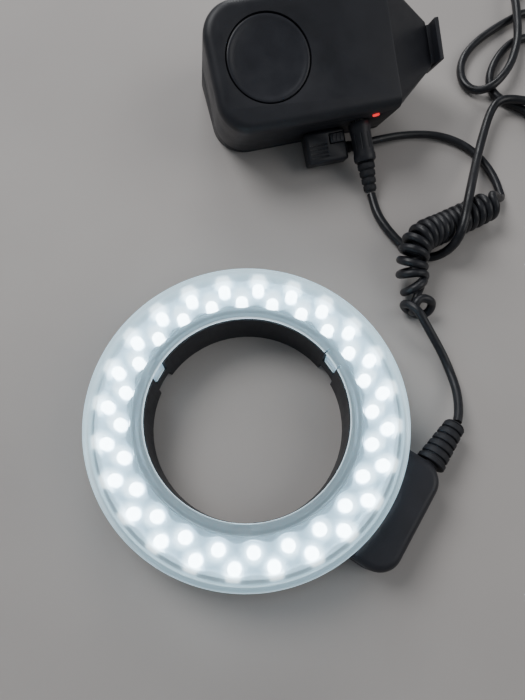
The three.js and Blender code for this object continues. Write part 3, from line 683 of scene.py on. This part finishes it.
def coil_points():
    """The rest of the DC cord: flat turns inwards on the floor, then outwards on top of them."""
    low, high = DC_LAYERS
    spacing = DC_D * 1.02
    steps, climb_steps, inward = 40, 8, 3
    rows = []
    for i in range(inward * steps + 1):
        turn = i / steps
        rows.append((DC_COIL_R - spacing * turn, math.pi + TAU * turn, low))
    inner = DC_COIL_R - spacing * inward
    for i in range(1, climb_steps + 1):
        height = low + (high - low) * i / climb_steps
        rows.append((inner, math.pi + TAU * (inward + i / steps), height))
    climb = inward + climb_steps / steps
    outward = inward + 1 - climb_steps / steps
    for i in range(1, round(outward * steps) + 1):
        turn = i / steps
        rows.append((min(DC_COIL_R, inner + spacing * turn), math.pi + TAU * (climb + turn), high))
    return [DC_COIL_AT + Vector((*polar(r, a), z)) for r, a, z in rows]


def dc_points():
    """The DC cord: its run, the coil, and the tail to its plug, with the joints smoothed."""
    route = smooth_path(placed(DC_ROUTE), 0.002)
    coil = placed(coil_points())
    joined = smooth_path([coil[-1]] + placed(DC_TAIL), 0.002)[1:]
    link = smooth_path([route[-2], route[-1], coil[0], coil[2]], 0.002)
    return relax(route[:-1] + link[2:-3] + coil[2:] + joined, 4)


def tube(name, points, diameter, material):
    data = bpy.data.curves.new(name, "CURVE")
    data.dimensions = "3D"
    data.bevel_depth = diameter / 2
    data.bevel_resolution = 5
    data.use_fill_caps = True
    spline = data.splines.new("POLY")
    spline.points.add(len(points) - 1)
    for target, point in zip(spline.points, points):
        target.co = (*point, 1)
    spline.use_smooth = True
    made = bpy.data.objects.new(name, data)
    bpy.context.collection.objects.link(made)
    made.data.materials.append(material)
    return made


def make_curly_cord():
    points = curly_points()
    cord = tube("curly_cord", points, CURLY_D, CORD)
    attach(cord, "light")
    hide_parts("ring_lead", "curly_coil", "plug_lead")


def ring_ranges(node):
    """A node's x, y and z ranges in the ring's frame, in millimetres."""
    return [[(v - start) / MM for v in pair] for pair, start in zip(zip(*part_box(node)), (*RING[:2], 0))]


def make_usb_plug():
    """Moulded plug with grip grooves and a ribbed strain relief, and its folded metal shell."""
    x, y, z = ring_ranges("usb_plug")
    body = to_object("usb_plug_body", block(x, (y[0], y[1] - 5), z, 1.3, 4), RING_FRAME)
    mid = ((x[0] + x[1]) / 2, (z[0] + z[1]) / 2)
    ribs = [(2.6, y[1] - 6)]
    for i in range(3):
        start, radius = y[1] - 4.4 + i * 1.5, 3.3 - i * 0.2
        ribs += [(radius, start), (radius, start + 0.8), (2.7, start + 1.0)]
    add(body, RING_FRAME, spun([(0, 0)] + ribs + [(0, 0)], 32, "y", mid))
    for i in range(5):
        at = y[0] + 6 + i * 2.4
        cut(body, RING_FRAME, block((x[0] + 2.5, x[1] - 2.5), (at, at + 0.9), (z[1] - 0.45, z[1] + 1)))
    soften(body, 0.2)
    finish_piece(body, "light", PLUG, ["usb_plug"])
    x, y, z = ring_ranges("usb_plug_shell")
    thick = 0.35
    mouth = block((x[0] + thick, x[1] - thick), (y[0] - 1, y[1] - 2), (z[0] + thick, z[1] - thick))
    windows = [block((x[0] + side, x[0] + side + 2.2), (y[0] + 5, y[0] + 7.2), (z[1] - 1, z[1] + 1))
               for side in (2.2, 7.6)]
    shell = to_object("usb_metal_shell", block(x, y, z, 0.25, 2), RING_FRAME)
    cut(shell, RING_FRAME, mouth, *windows)
    finish_piece(shell, "light", CONTACT, ["usb_plug_shell"])
    bar = block((x[0] + 0.6, x[1] - 0.6), (y[0] + 0.6, y[1] - 1.6), (z[1] - 2.4, z[1] - 0.5), 0.15)
    tongue = to_object("usb_tongue", bar, RING_FRAME)
    finish_piece(tongue, "light", INNER)
    return [body, shell, tongue]


def make_dc_cord(on_it):
    points = dc_points()
    cord = tube("dc_lead", points, DC_D, DC_CORD_LOOK)
    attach(cord, "light")
    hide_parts("dc_cord", "dc_coil", "dc_tail")


make_curly_cord()
make_dc_cord(make_usb_plug())


# -------- ring head
def scallop(angle, row, low, high):
    """A radius that swells by one soft lobe at each lamp of a row."""
    first = math.radians(LAMP_ROWS[row][1])
    wave = 0.5 + 0.5 * math.cos((angle - first) * LAMPS)
    return low + (high - low) * wave


def make_diffuser():
    top, rounding, bottom = 22.0, 2.6, 12.4
    profile = [(40.3, top - 1.8), (39.8, top - 1.4), (39.8, top - 0.5), (40.0, top - 0.12), (40.5, top),
               (44.0, top), (44.15, top - 0.15), (44.5, top - 0.15), (44.65, top), (RIM_R - rounding, top)]
    for i in range(1, 9):
        x, z = polar(rounding, math.pi / 2 * i / 8)[::-1]
        profile.append((RIM_R - rounding + x, top - rounding + z))
    profile += [(RIM_R, bottom + 0.5), (RIM_R - 0.4, bottom), (RIM_R - 1.7, bottom),
                (RIM_R - 2, bottom + 0.4), (RIM_R - 2, top - 3.4), (RIM_R - 2.4, top - 2.2),
                (RIM_R - 3.2, top - 1.7), (43.6, top - 1.7), (43.6, 16.6), (43.3, 16.4), (42.5, 16.4),
                (42.3, 16.7), (42.3, top - 1.8)]
    cover = to_object("diffuser", turned(lambda angle: profile), RING_FRAME)
    for degrees in SNAP_DEG:
        tab = block((40.2, 42.8), (-3.5, 3.5), (12, top - 1.2), 0.25, 2)
        hook = block((39.9, 41.2), (-3.1, 3.1), (12, 13.4), 0.3, 2)
        add(cover, RING_FRAME, turn_z(tab, degrees), turn_z(hook, degrees))
        for side in (-4.4, 3.6):
            gap = block((39, 41.6), (side, side + 0.8), (top - 3, top + 1))
            cut(cover, RING_FRAME, turn_z(gap, degrees))
    finish_piece(cover, "diffuser", DIFFUSER, ["diffuser_cover"])


def make_lamps():
    """Two rows of round lamps, each with a collar at its foot and a domed end."""
    foot, lamp_r, shoulder = 9.0, 2.5, 14.5
    profile = [(0, foot), (2.55, foot), (2.9, foot + 0.1), (2.9, foot + 0.9), (2.55, foot + 1.05),
               (lamp_r, foot + 1.2), (lamp_r, shoulder)]
    for i in range(1, 8):
        r, z = polar(lamp_r, math.pi / 2 * i / 8)
        profile.append((r, shoulder + z))
    for row, (name, node) in enumerate((("outer_lamps", "led_row_outer"), ("inner_lamps", "led_row_inner"))):
        parts = [spun(profile, 20, "z", at) for at in lamp_places(row)]
        finish_piece(to_object(name, merge(*parts), RING_FRAME), "light", LAMP, [node])


def make_tray():
    """White tray whose two walls are scalloped round the lamps, with a hole for each lamp."""
    low, outer_top, inner_top = 11.2, 19.3, 18.8

    def section(angle):
        inside = scallop(angle, 1, 46.9, 45.3)
        outside = scallop(angle, 0, 57.0, 58.1)
        return [(44.5, low), (58.2, low), (58.6, outer_top), (outside, outer_top), (outside - 0.5, low + 1),
                (inside + 0.5, low + 1), (inside, inner_top), (44.5, inner_top)]

    tray = to_object("reflector", turned(section), RING_FRAME)
    holes = [cylinder("z", 3.05, (low - 1, low + 2), at, 20) for row in (0, 1) for at in lamp_places(row)]
    cut(tray, RING_FRAME, merge(*holes))
    finish_piece(tray, "light", TRAY, ["reflector_tray"])


make_diffuser()
make_lamps()
make_tray()


# -------- side pod
def arc(centre, radius, start, end, steps):
    turns = [polar(radius, math.radians(start + (end - start) * i / steps)) for i in range(steps + 1)]
    return [(centre[0] + x, centre[1] + y) for x, y in turns]


def pod_loop(inset, z):
    low, high = POD_ENDS[0] + inset, POD_ENDS[1] - inset
    outer, corner = POD_OUTER - inset, 9 - inset
    points = [(54, low)] + arc((outer - corner, low + corner), corner, -90, 0, 14)
    points += arc((outer - corner, high - corner), corner, 0, 90, 14) + [(54, high)]
    return [(x, y, z) for x, y in points]


def lean_out(bm):
    """Places a shape that stands on the origin, along +Y, where the strain relief leaves the pod."""
    bm.transform(Matrix.Translation(RELIEF_AT) @ Matrix.Rotation(RELIEF_LEAN, 4, "Z"))
    return bm


def make_pod():
    """Two half shells, cut to the ring's outside and hollowed for the board."""
    lower = [pod_loop(0.9, 0.0), pod_loop(0.25, 0.3), pod_loop(0, 1.0), pod_loop(0, 6.8), pod_loop(0.2, 7.0)]
    upper = [pod_loop(0.2, 7.3), pod_loop(0, 7.5)]
    rounding = 3
    for i in range(13):
        angle = math.pi / 2 * i / 12
        inset = rounding - rounding * math.cos(angle)
        upper.append(pod_loop(inset, POD_TOP - rounding + rounding * math.sin(angle)))
    for name, loops in (("pod_lower", lower), ("pod_upper", upper)):
        shell = to_object(name, skin(loops, False, True), POD_FRAME)
        ring_side = [cylinder("z", radius, ends, steps=192)
                     for radius, ends in ((61.6, (-5, 7.9)), (62.8, (7.5, 12.2)), (63.6, (12, 30)))]
        hole = lean_out(cylinder("y", 3.9, (-6, 4), steps=32))
        cavity = block((65.5, POD_OUTER - 2), (POD_ENDS[0] + 4, POD_ENDS[1] - 4.5), (1.8, POD_TOP - 1.8))
        wire_way = block((58, 66), (-5.5, 5.5), (5, 10))
        cut(shell, POD_FRAME, *ring_side, hole, cavity, wire_way)
        soften(shell, 0.2)
        finish_piece(shell, "light", SHELL, [name + "_shell"])


def make_pod_relief():
    """Stepped strain relief: a collar and tapering ribs with grooves between them."""
    profile = [(0, -4.7), (3.5, -4.7), (3.5, 0.9), (5.6, 0.9), (5.85, 1.15), (5.85, 2.85), (5.6, 3.1),
               (4.9, 3.4)]
    for i in range(RELIEF_RIBS):
        start, radius = 4.1 + i * 3.3, 5.5 - i * 0.28
        profile += [(radius - 0.75, start), (radius - 0.15, start + 0.2), (radius, start + 0.45),
                    (radius - 0.05, start + 2.25), (radius - 0.2, start + 2.5), (radius - 0.75, start + 2.7)]
    profile += [(3.9, 20.3), (3.3, 20.9), (2.1, 21.0), (0, 21.0)]
    shape = lean_out(spun(profile, 64, "y"))
    relief = to_object("pod_relief", shape, POD_FRAME)
    finish_piece(relief, "light", RELIEF, ["pod_strain_relief"])


make_pod()
make_pod_relief()


# -------- control box
def box_loop(inset, z, reach=3.0):
    left, right = BOX_LEFT + inset, BOX_RIGHT + reach
    near, far = inset, BOX_WIDTH - inset
    corner = 15 - inset
    points = [(right, near), (right, far)]
    points += arc((left + corner, far - corner), corner, 90, 180, 20)
    points += arc((left + corner, near + corner), corner, 180, 270, 20)
    return [(x, y, z) for x, y in points]


def hull(points):
    bm = bmesh.new()
    made = [bm.verts.new(p) for p in points]
    result = bmesh.ops.convex_hull(bm, input=made)
    spare = result["geom_interior"] + result["geom_unused"]
    loose = {e for e in spare if isinstance(e, bmesh.types.BMVert)}
    bmesh.ops.delete(bm, geom=list(loose), context="VERTS")
    bmesh.ops.dissolve_limit(bm, angle_limit=0.01, verts=bm.verts, edges=bm.edges)
    return bm


def box_solid():
    """The outer shape of the control box: rounded slab, tapered neck, and flat base on the table."""
    loops = [box_loop(0, -40)]
    for i in range(11):
        angle = math.pi / 2 * i / 10
        inset = EDGE_ROUND * (1 - math.cos(angle))
        loops.append(box_loop(inset, BOX_DEPTH - EDGE_ROUND + EDGE_ROUND * math.sin(angle)))
    body = to_object("shape", skin(loops, False, True), BOX_FRAME)
    cut(body, BOX_FRAME, block((BOX_RIGHT, 80), (-10, 70), (-60, 60)))
    cut(body, LEVEL_FRAME, block((-80, 140), (-160, 200), (-120, 0)))
    drop = -BOX_WIDTH * math.tan(TILT)
    near = arc((EDGE_ROUND, BOX_DEPTH - EDGE_ROUND), EDGE_ROUND, 180, 90, 10)
    far = arc((BOX_WIDTH - EDGE_ROUND, BOX_DEPTH - EDGE_ROUND), EDGE_ROUND, 90, 0, 10)
    wide = [(BOX_RIGHT - 0.5, y, z) for y, z in [(0, 0)] + near + far + [(BOX_WIDTH, drop)]]
    neck = arc((19, 21), 1.5, 180, 90, 4) + arc((37, 21), 1.5, 90, 0, 4) + [(38.5, 13), (17.5, 13)]
    add(body, BOX_FRAME, hull(wide + [(NECK_X, y, z) for y, z in neck]))
    return body


def box_cavity():
    loops = [box_loop(WALL, -40, -WALL), box_loop(WALL, BOX_DEPTH - 2, -WALL)]
    hollow = to_object("hollow", skin(loops, False, True), BOX_FRAME)
    cut(hollow, BOX_FRAME, block((BOX_RIGHT - 2, 80), (-10, 70), (-60, 60)),
        cylinder("z", 21.5, (33.2, 40), DIAL_AT, 64))
    cut(hollow, LEVEL_FRAME, block((-80, 140), (-160, 200), (-120, WALL)))
    return hollow


SHELL_SCREWS = ((-8, 14), (54, 14), (-8, 46), (54, 46))


def make_shells():
    """Front and rear shell: one hollow body with its openings, parted along a seam."""
    whole = box_solid()
    boolean(whole, box_cavity(), "DIFFERENCE")
    gap = 0.4
    near_wall, far_wall = (-1, WALL + 1), (BOX_WIDTH - 3, BOX_WIDTH + 1)
    cut(whole, BOX_FRAME,
        cylinder("z", DIAL_R + 0.65, (BOX_DEPTH - 2.2, BOX_DEPTH + 2), DIAL_AT, 128),
        cylinder("z", 2.95, (BOX_DEPTH - 6, BOX_DEPTH), DIAL_AT, 32),
        block((PLUG_X[0] + 2, PLUG_X[1] - 2), near_wall, (PLUG_Z[0] + 1, PLUG_Z[1] - 1)),
        cylinder("y", 4, near_wall, DC_AT),
        cylinder("y", 1.95, near_wall, LAMP_AT, 24),
        block((DOOR_X[0] - gap, DOOR_X[1] + gap), far_wall, (DOOR_Z[0] - gap, DOOR_Z[1] + gap)),
        cylinder("y", 3.75, far_wall, BUTTON_AT))
    front, rear = whole, whole.copy()
    rear.data = whole.data.copy()
    bpy.context.collection.objects.link(rear)
    cut(front, BOX_FRAME, block((-60, 120), (-60, 120), (-90, SPLIT + 0.15)))
    cut(rear, BOX_FRAME, block((-60, 120), (-60, 120), (SPLIT - 0.15, 90)))
    for x in ((-2, 5.6), (36.4, 44)):
        add(rear, BOX_FRAME, block(x, (BOX_WIDTH - 1, HINGE_AT[0]), (-2, 1.4), 0.3, 2),
            block(x, (BOX_WIDTH + 0.6, HINGE_AT[0] + 1.4), (-0.6, HINGE_AT[1]), 0.3, 2),
            cylinder("x", 2, x, HINGE_AT, 32))
    cut(rear, BOX_FRAME, cylinder("x", 1.15, (-6, 48), HINGE_AT, 24))
    for at in SHELL_SCREWS:
        cut(rear, LEVEL_FRAME, cylinder("z", 2.8, (-1, 1.1), at, 32), cylinder("z", 1.5, (-1, 3), at, 24))
    front.name, rear.name = "box_front", "box_rear"
    for shell, node in ((front, "front_shell"), (rear, "rear_shell")):
        soften(shell, 0.22)
        finish_piece(shell, "light", SHELL, [node])


def make_dial():
    """Shallow dished disc with a finger groove round its rim."""
    top = BOX_DEPTH
    low = top - 1.85
    profile = [(0, top - 4.6), (2.4, top - 4.6), (2.6, top - 4.4), (2.6, low), (17.9, low),
               (DIAL_R, low + 0.3), (DIAL_R, top - 0.7), (DIAL_R - 0.15, top - 0.35),
               (DIAL_R - 0.5, top - 0.14), (DIAL_R - 0.9, top - 0.1), (DIAL_R - 1.4, top - 0.14),
               (DIAL_R - 1.9, top - 0.3), (DIAL_R - 3.4, top - 0.7), (8, top - 0.88), (1.0, top - 0.95),
               (0, top - 0.95)]
    dial = to_object("dial", spun(profile, 128, "z", DIAL_AT), BOX_FRAME)
    finish_piece(dial, "dial", DIAL, ["control_dial"])


make_shells()
make_dial()


# -------- plugs, foot, door and screws
def make_link_plug():
    """Flat plug with rounded edges, finger grooves, a ribbed boot and a ridged release tab."""
    (left, right), (low, high) = PLUG_X, PLUG_Z
    grip = block((left, right), (-PLUG_REACH, -0.4), (low, high), 1.3, 4)
    nose = block((left + 3, right - 3), (-1, 9), (low + 2, high - 2), 0.4, 2)
    tab_well = block((30.1, 37.7), (-7.3, -2.3), (16.2, 20))
    grooves = [block((20.2, 28.6), (y, y + 0.8), (high - 0.4, high + 1)) for y in (-12.8, -10.9, -9.0, -7.1)]
    plug = to_object("link_plug_body", grip, BOX_FRAME)
    add(plug, BOX_FRAME, nose)
    cut(plug, BOX_FRAME, tab_well, *grooves)
    soften(plug, 0.18)
    finish_piece(plug, "light", PLUG, ["link_plug"])
    ridges = [block((x, x + 0.7), (-6.4, -3.2), (18.3, 18.8), 0.15, 2) for x in (31.6, 33.5, 35.4)]
    tab = to_object("link_tab", block((30.4, 37.4), (-7, -2.6), (17, 18.6), 0.4, 3), BOX_FRAME)
    add(tab, BOX_FRAME, *ridges)
    finish_piece(tab, "plug_tab", DIAL, ["link_plug_tab"])
    ribs = [(0, 38.6), (2.75, 38.6), (2.9, 38.8), (2.9, 39.6), (2.35, 39.8), (2.35, 40.2), (2.75, 40.4),
            (2.7, 41.4), (2.2, 41.6), (2.2, 42.0), (2.55, 42.2), (2.5, 43.2), (2.2, 43.9), (1.95, 44.15),
            (0, 44.15)]
    boot = to_object("link_boot", spun(ribs, 48, "x", (-9, 12)), BOX_FRAME)
    finish_piece(boot, "light", RELIEF, ["link_plug_boot"])


def make_dc_plug():
    """Round plug with a grip waist, and its long ribbed boot."""
    body = [(0, -19), (4.3, -19), (4.9, -18.7), (5.2, -18), (5.25, -16), (4.95, -14.6), (4.85, -11),
            (4.85, -7), (4.95, -5), (5.25, -3.8), (5.25, -1.2), (5.0, -0.7), (4.6, -0.5), (0, -0.5)]
    plug = to_object("dc_plug_body", spun(body, 64, "y", DC_AT), BOX_FRAME)
    flutes = []
    for i in range(10):
        x, z = polar(5.15, TAU * i / 10)
        at = (DC_AT[0] + x, DC_AT[1] + z)
        flutes.append(cylinder("y", 0.5, (-13.5, -6), at, 12))
    cut(plug, BOX_FRAME, merge(*flutes))
    finish_piece(plug, "light", PLUG, ["dc_plug"])
    ribs = [(0, -33.3), (2.45, -33.3), (2.6, -33.0)]
    for i in range(4):
        start, radius = -32.7 + 3.4 * i, 3.1 + 0.35 * i
        ribs += [(radius - 0.5, start), (radius - 0.1, start + 0.2), (radius, start + 0.5),
                 (radius, start + 2.2), (radius - 0.1, start + 2.5), (radius - 0.5, start + 2.7)]
    ribs += [(3.9, -19.7), (4.2, -19.4), (0, -19.4)]
    boot = to_object("dc_boot", spun(ribs, 48, "y", DC_AT), BOX_FRAME)
    finish_piece(boot, "light", RELIEF, ["dc_plug_boot"])


def make_foot():
    """Shoe foot: a plate with eased corners on a stem, bored for the contact pin."""
    y, z = FOOT_Y, FOOT_Z
    plate = block((86.3, 88.3), (y - 9.3, y + 9.3), (z - 9, z + 9), 0.35, 3)
    stem = block((84.3, 87.3), (y - 8.6, y + 8.6), (z - 5, z + 3.6), 0.3, 2)
    countersink = spun([(0, 88.0), (2.6, 88.0), (2.9, 89), (0, 89)], 32, "x", (y, z))
    foot = to_object("foot", plate, BOX_FRAME)
    add(foot, BOX_FRAME, stem)
    cut(foot, BOX_FRAME, cylinder("x", 1.5, (85.2, 90), (y, z), 32), countersink)
    finish_piece(foot, "light", SHELL, ["shoe_foot"])


def make_door():
    """Battery door with grip grooves, its thumb latch and its knuckle."""
    wall = BOX_WIDTH
    hinge_y, hinge_z = HINGE_AT
    arm = block((6, 36), (wall - 1, hinge_y), (hinge_z - 1.2, hinge_z + 1.2))
    latch_well = block((14, 28.4), (wall - 1.1, wall + 1), (24, 31))
    grooves = [block((32, 43), (wall - 0.35, wall + 1), (z, z + 0.9)) for z in (22, 24.2, 26.4, 28.6)]
    door = to_object("door", block(DOOR_X, (wall - 2, wall), DOOR_Z, 0.45, 3), BOX_FRAME)
    add(door, BOX_FRAME, arm, cylinder("x", 2, (6, 36), HINGE_AT, 32))
    cut(door, BOX_FRAME, cylinder("x", 1.15, (0, 42), HINGE_AT, 24), latch_well, *grooves)
    soften(door, 0.15)
    finish_piece(door, "battery_door", SHELL, ["battery_door"])
    slits = [block((x, x + 0.7), (wall + 0.55, wall + 2), (25.2, 29.8))
             for x in (15.6, 17.1, 18.6, 20.1, 21.6)]
    thumb = block((14.4, 23.4), (wall - 0.8, wall + 0.9), (24.4, 30.6), 0.4, 3)
    latch = to_object("latch", thumb, BOX_FRAME)
    cut(latch, BOX_FRAME, *slits)
    finish_piece(latch, "door_latch", DIAL, ["battery_door_latch"])


def make_power_button():
    base, top = BOX_WIDTH - 2.8, BOX_WIDTH + 1.2
    profile = [(0, base), (3.4, base), (3.4, top - 0.5), (3.25, top - 0.15), (2.9, top), (2.5, top),
               (2.35, top - 0.2), (1.2, top - 0.32), (0.4, top - 0.35), (0, top - 0.35)]
    button = to_object("power_cap", spun(profile, 48, "y", BUTTON_AT), BOX_FRAME)
    finish_piece(button, "power_button", DIAL, ["power_button"])


def make_screws():
    """Cross-recessed screws under the ring and the box."""
    for node in [f"back_screw_{i}" for i in range(1, 5)] + [f"shell_screw_{i}" for i in range(1, 5)]:
        low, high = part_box(node)
        x, y, _ = middle(node)
        bottom, top, head = low[2] / MM, high[2] / MM, (high[0] - low[0]) / 2 / MM
        shank = head * 0.45
        place = Matrix.Translation((x, y, 0)) @ Matrix.Scale(MM, 4)
        profile = [(0, bottom), (head - 0.3, bottom), (head, bottom + 0.2), (head, bottom + 0.65),
                   (shank, bottom + 0.7), (shank, top - 0.4), (shank - 0.3, top), (0, top)]
        screw = to_object(node + "_cross", spun(profile, 32), place)
        reach = head * 0.6
        cut(screw, place, block((-reach, reach), (-0.3, 0.3), (bottom - 1, bottom + 0.45)),
            block((-0.3, 0.3), (-reach, reach), (bottom - 1, bottom + 0.4)))
        finish_piece(screw, "light", STEEL, [node])


make_link_plug()
make_dc_plug()
make_foot()
make_door()
make_power_button()
make_screws()


# -------- looks of the kept CAD nodes
def smooth_group():
    """Geometry nodes that shade smooth except across sharp edges."""
    group = bpy.data.node_groups.new("smooth_by_angle", "GeometryNodeTree")
    group.interface.new_socket("Geometry", in_out="INPUT", socket_type="NodeSocketGeometry")
    group.interface.new_socket("Geometry", in_out="OUTPUT", socket_type="NodeSocketGeometry")
    nodes, links = group.nodes, group.links
    start, end = nodes.new("NodeGroupInput"), nodes.new("NodeGroupOutput")
    faces, edges = nodes.new("GeometryNodeSetShadeSmooth"), nodes.new("GeometryNodeSetShadeSmooth")
    edges.domain = "EDGE"
    angle, compare = nodes.new("GeometryNodeInputMeshEdgeAngle"), nodes.new("FunctionNodeCompare")
    compare.operation = "GREATER_THAN"
    compare.inputs["B"].default_value = SHARP_EDGE
    edges.inputs["Shade Smooth"].default_value = False
    links.new(start.outputs[0], faces.inputs["Geometry"])
    links.new(faces.outputs[0], edges.inputs["Geometry"])
    links.new(angle.outputs["Unsigned Angle"], compare.inputs["A"])
    links.new(compare.outputs[0], edges.inputs["Selection"])
    links.new(edges.outputs[0], end.inputs[0])
    return group


KEPT = {
    "ring_housing": SHELL, "ring_back_plate": INNER, "led_board": WHITE_BOARD, "pod_board": GREEN,
    "control_board": GREEN, "dial_encoder": INNER, "battery_tray": INNER, "battery_contact_left": CONTACT,
    "battery_contact_right": CONTACT, "door_hinge_pin": STEEL, "power_switch": INNER,
    "shoe_contact_pin": GOLD, "link_socket": INNER, "dc_plug_barrel": CONTACT, "dc_jack": INNER,
    "power_indicator": INDICATOR, **{f"battery_cell_{number}": CELL for number in range(1, 5)},
}


def dress_kept_nodes():
    group = smooth_group()
    for name, material in KEPT.items():
        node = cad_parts[name]
        if not node.material_slots:
            node.data.materials.append(material)
        for slot in node.material_slots:
            slot.material = material
        node.modifiers.new("smooth", "NODES").node_group = group


dress_kept_nodes()


# -------- floor and lights
def make_floor():
    s = Shader("pale_floor", Roughness=0.6)
    patches = s.noise(9, 3, 0.5)
    s.paint("Base Color", s.ramp(patches, (0.3, (0.5, 0.47, 0.455, 1)), (0.7, (0.55, 0.52, 0.5, 1))))
    bm = bmesh.new()
    bmesh.ops.create_grid(bm, x_segments=1, y_segments=1, size=3)
    floor = to_object("floor", bm, Matrix.Translation((0, 0, -0.0002)))
    floor.data.materials.append(s.material)


def area_light(name, place, target, size, power, colour=(1, 1, 1)):
    data = bpy.data.lights.new(name, "AREA")
    data.shape = "DISK"
    data.size = size
    data.energy = power
    data.color = colour
    lamp = bpy.data.objects.new(name, data)
    aim = (Vector(target) - Vector(place)).to_track_quat("-Z", "Y").to_matrix().to_4x4()
    lamp.matrix_world = Matrix.Translation(place) @ aim
    bpy.context.collection.objects.link(lamp)


def make_lights():
    area_light("key", (-0.5, 0.7, 1.0), (0, 0.02, 0), 0.7, 7.5)
    area_light("fill", (0.9, -0.3, 0.8), (0, 0, 0), 0.9, 3.0, (1, 0.98, 0.95))
    area_light("rim", (0.2, 1.1, 0.5), (0.02, 0.08, 0.02), 0.5, 3.0)
    world = bpy.data.worlds.new("studio")
    world.use_nodes = True
    sky = world.node_tree.nodes["Background"].inputs
    sky["Color"].default_value = (0.8, 0.85, 0.9, 1)
    sky["Strength"].default_value = 0.22
    bpy.context.scene.world = world


make_floor()
make_lights()
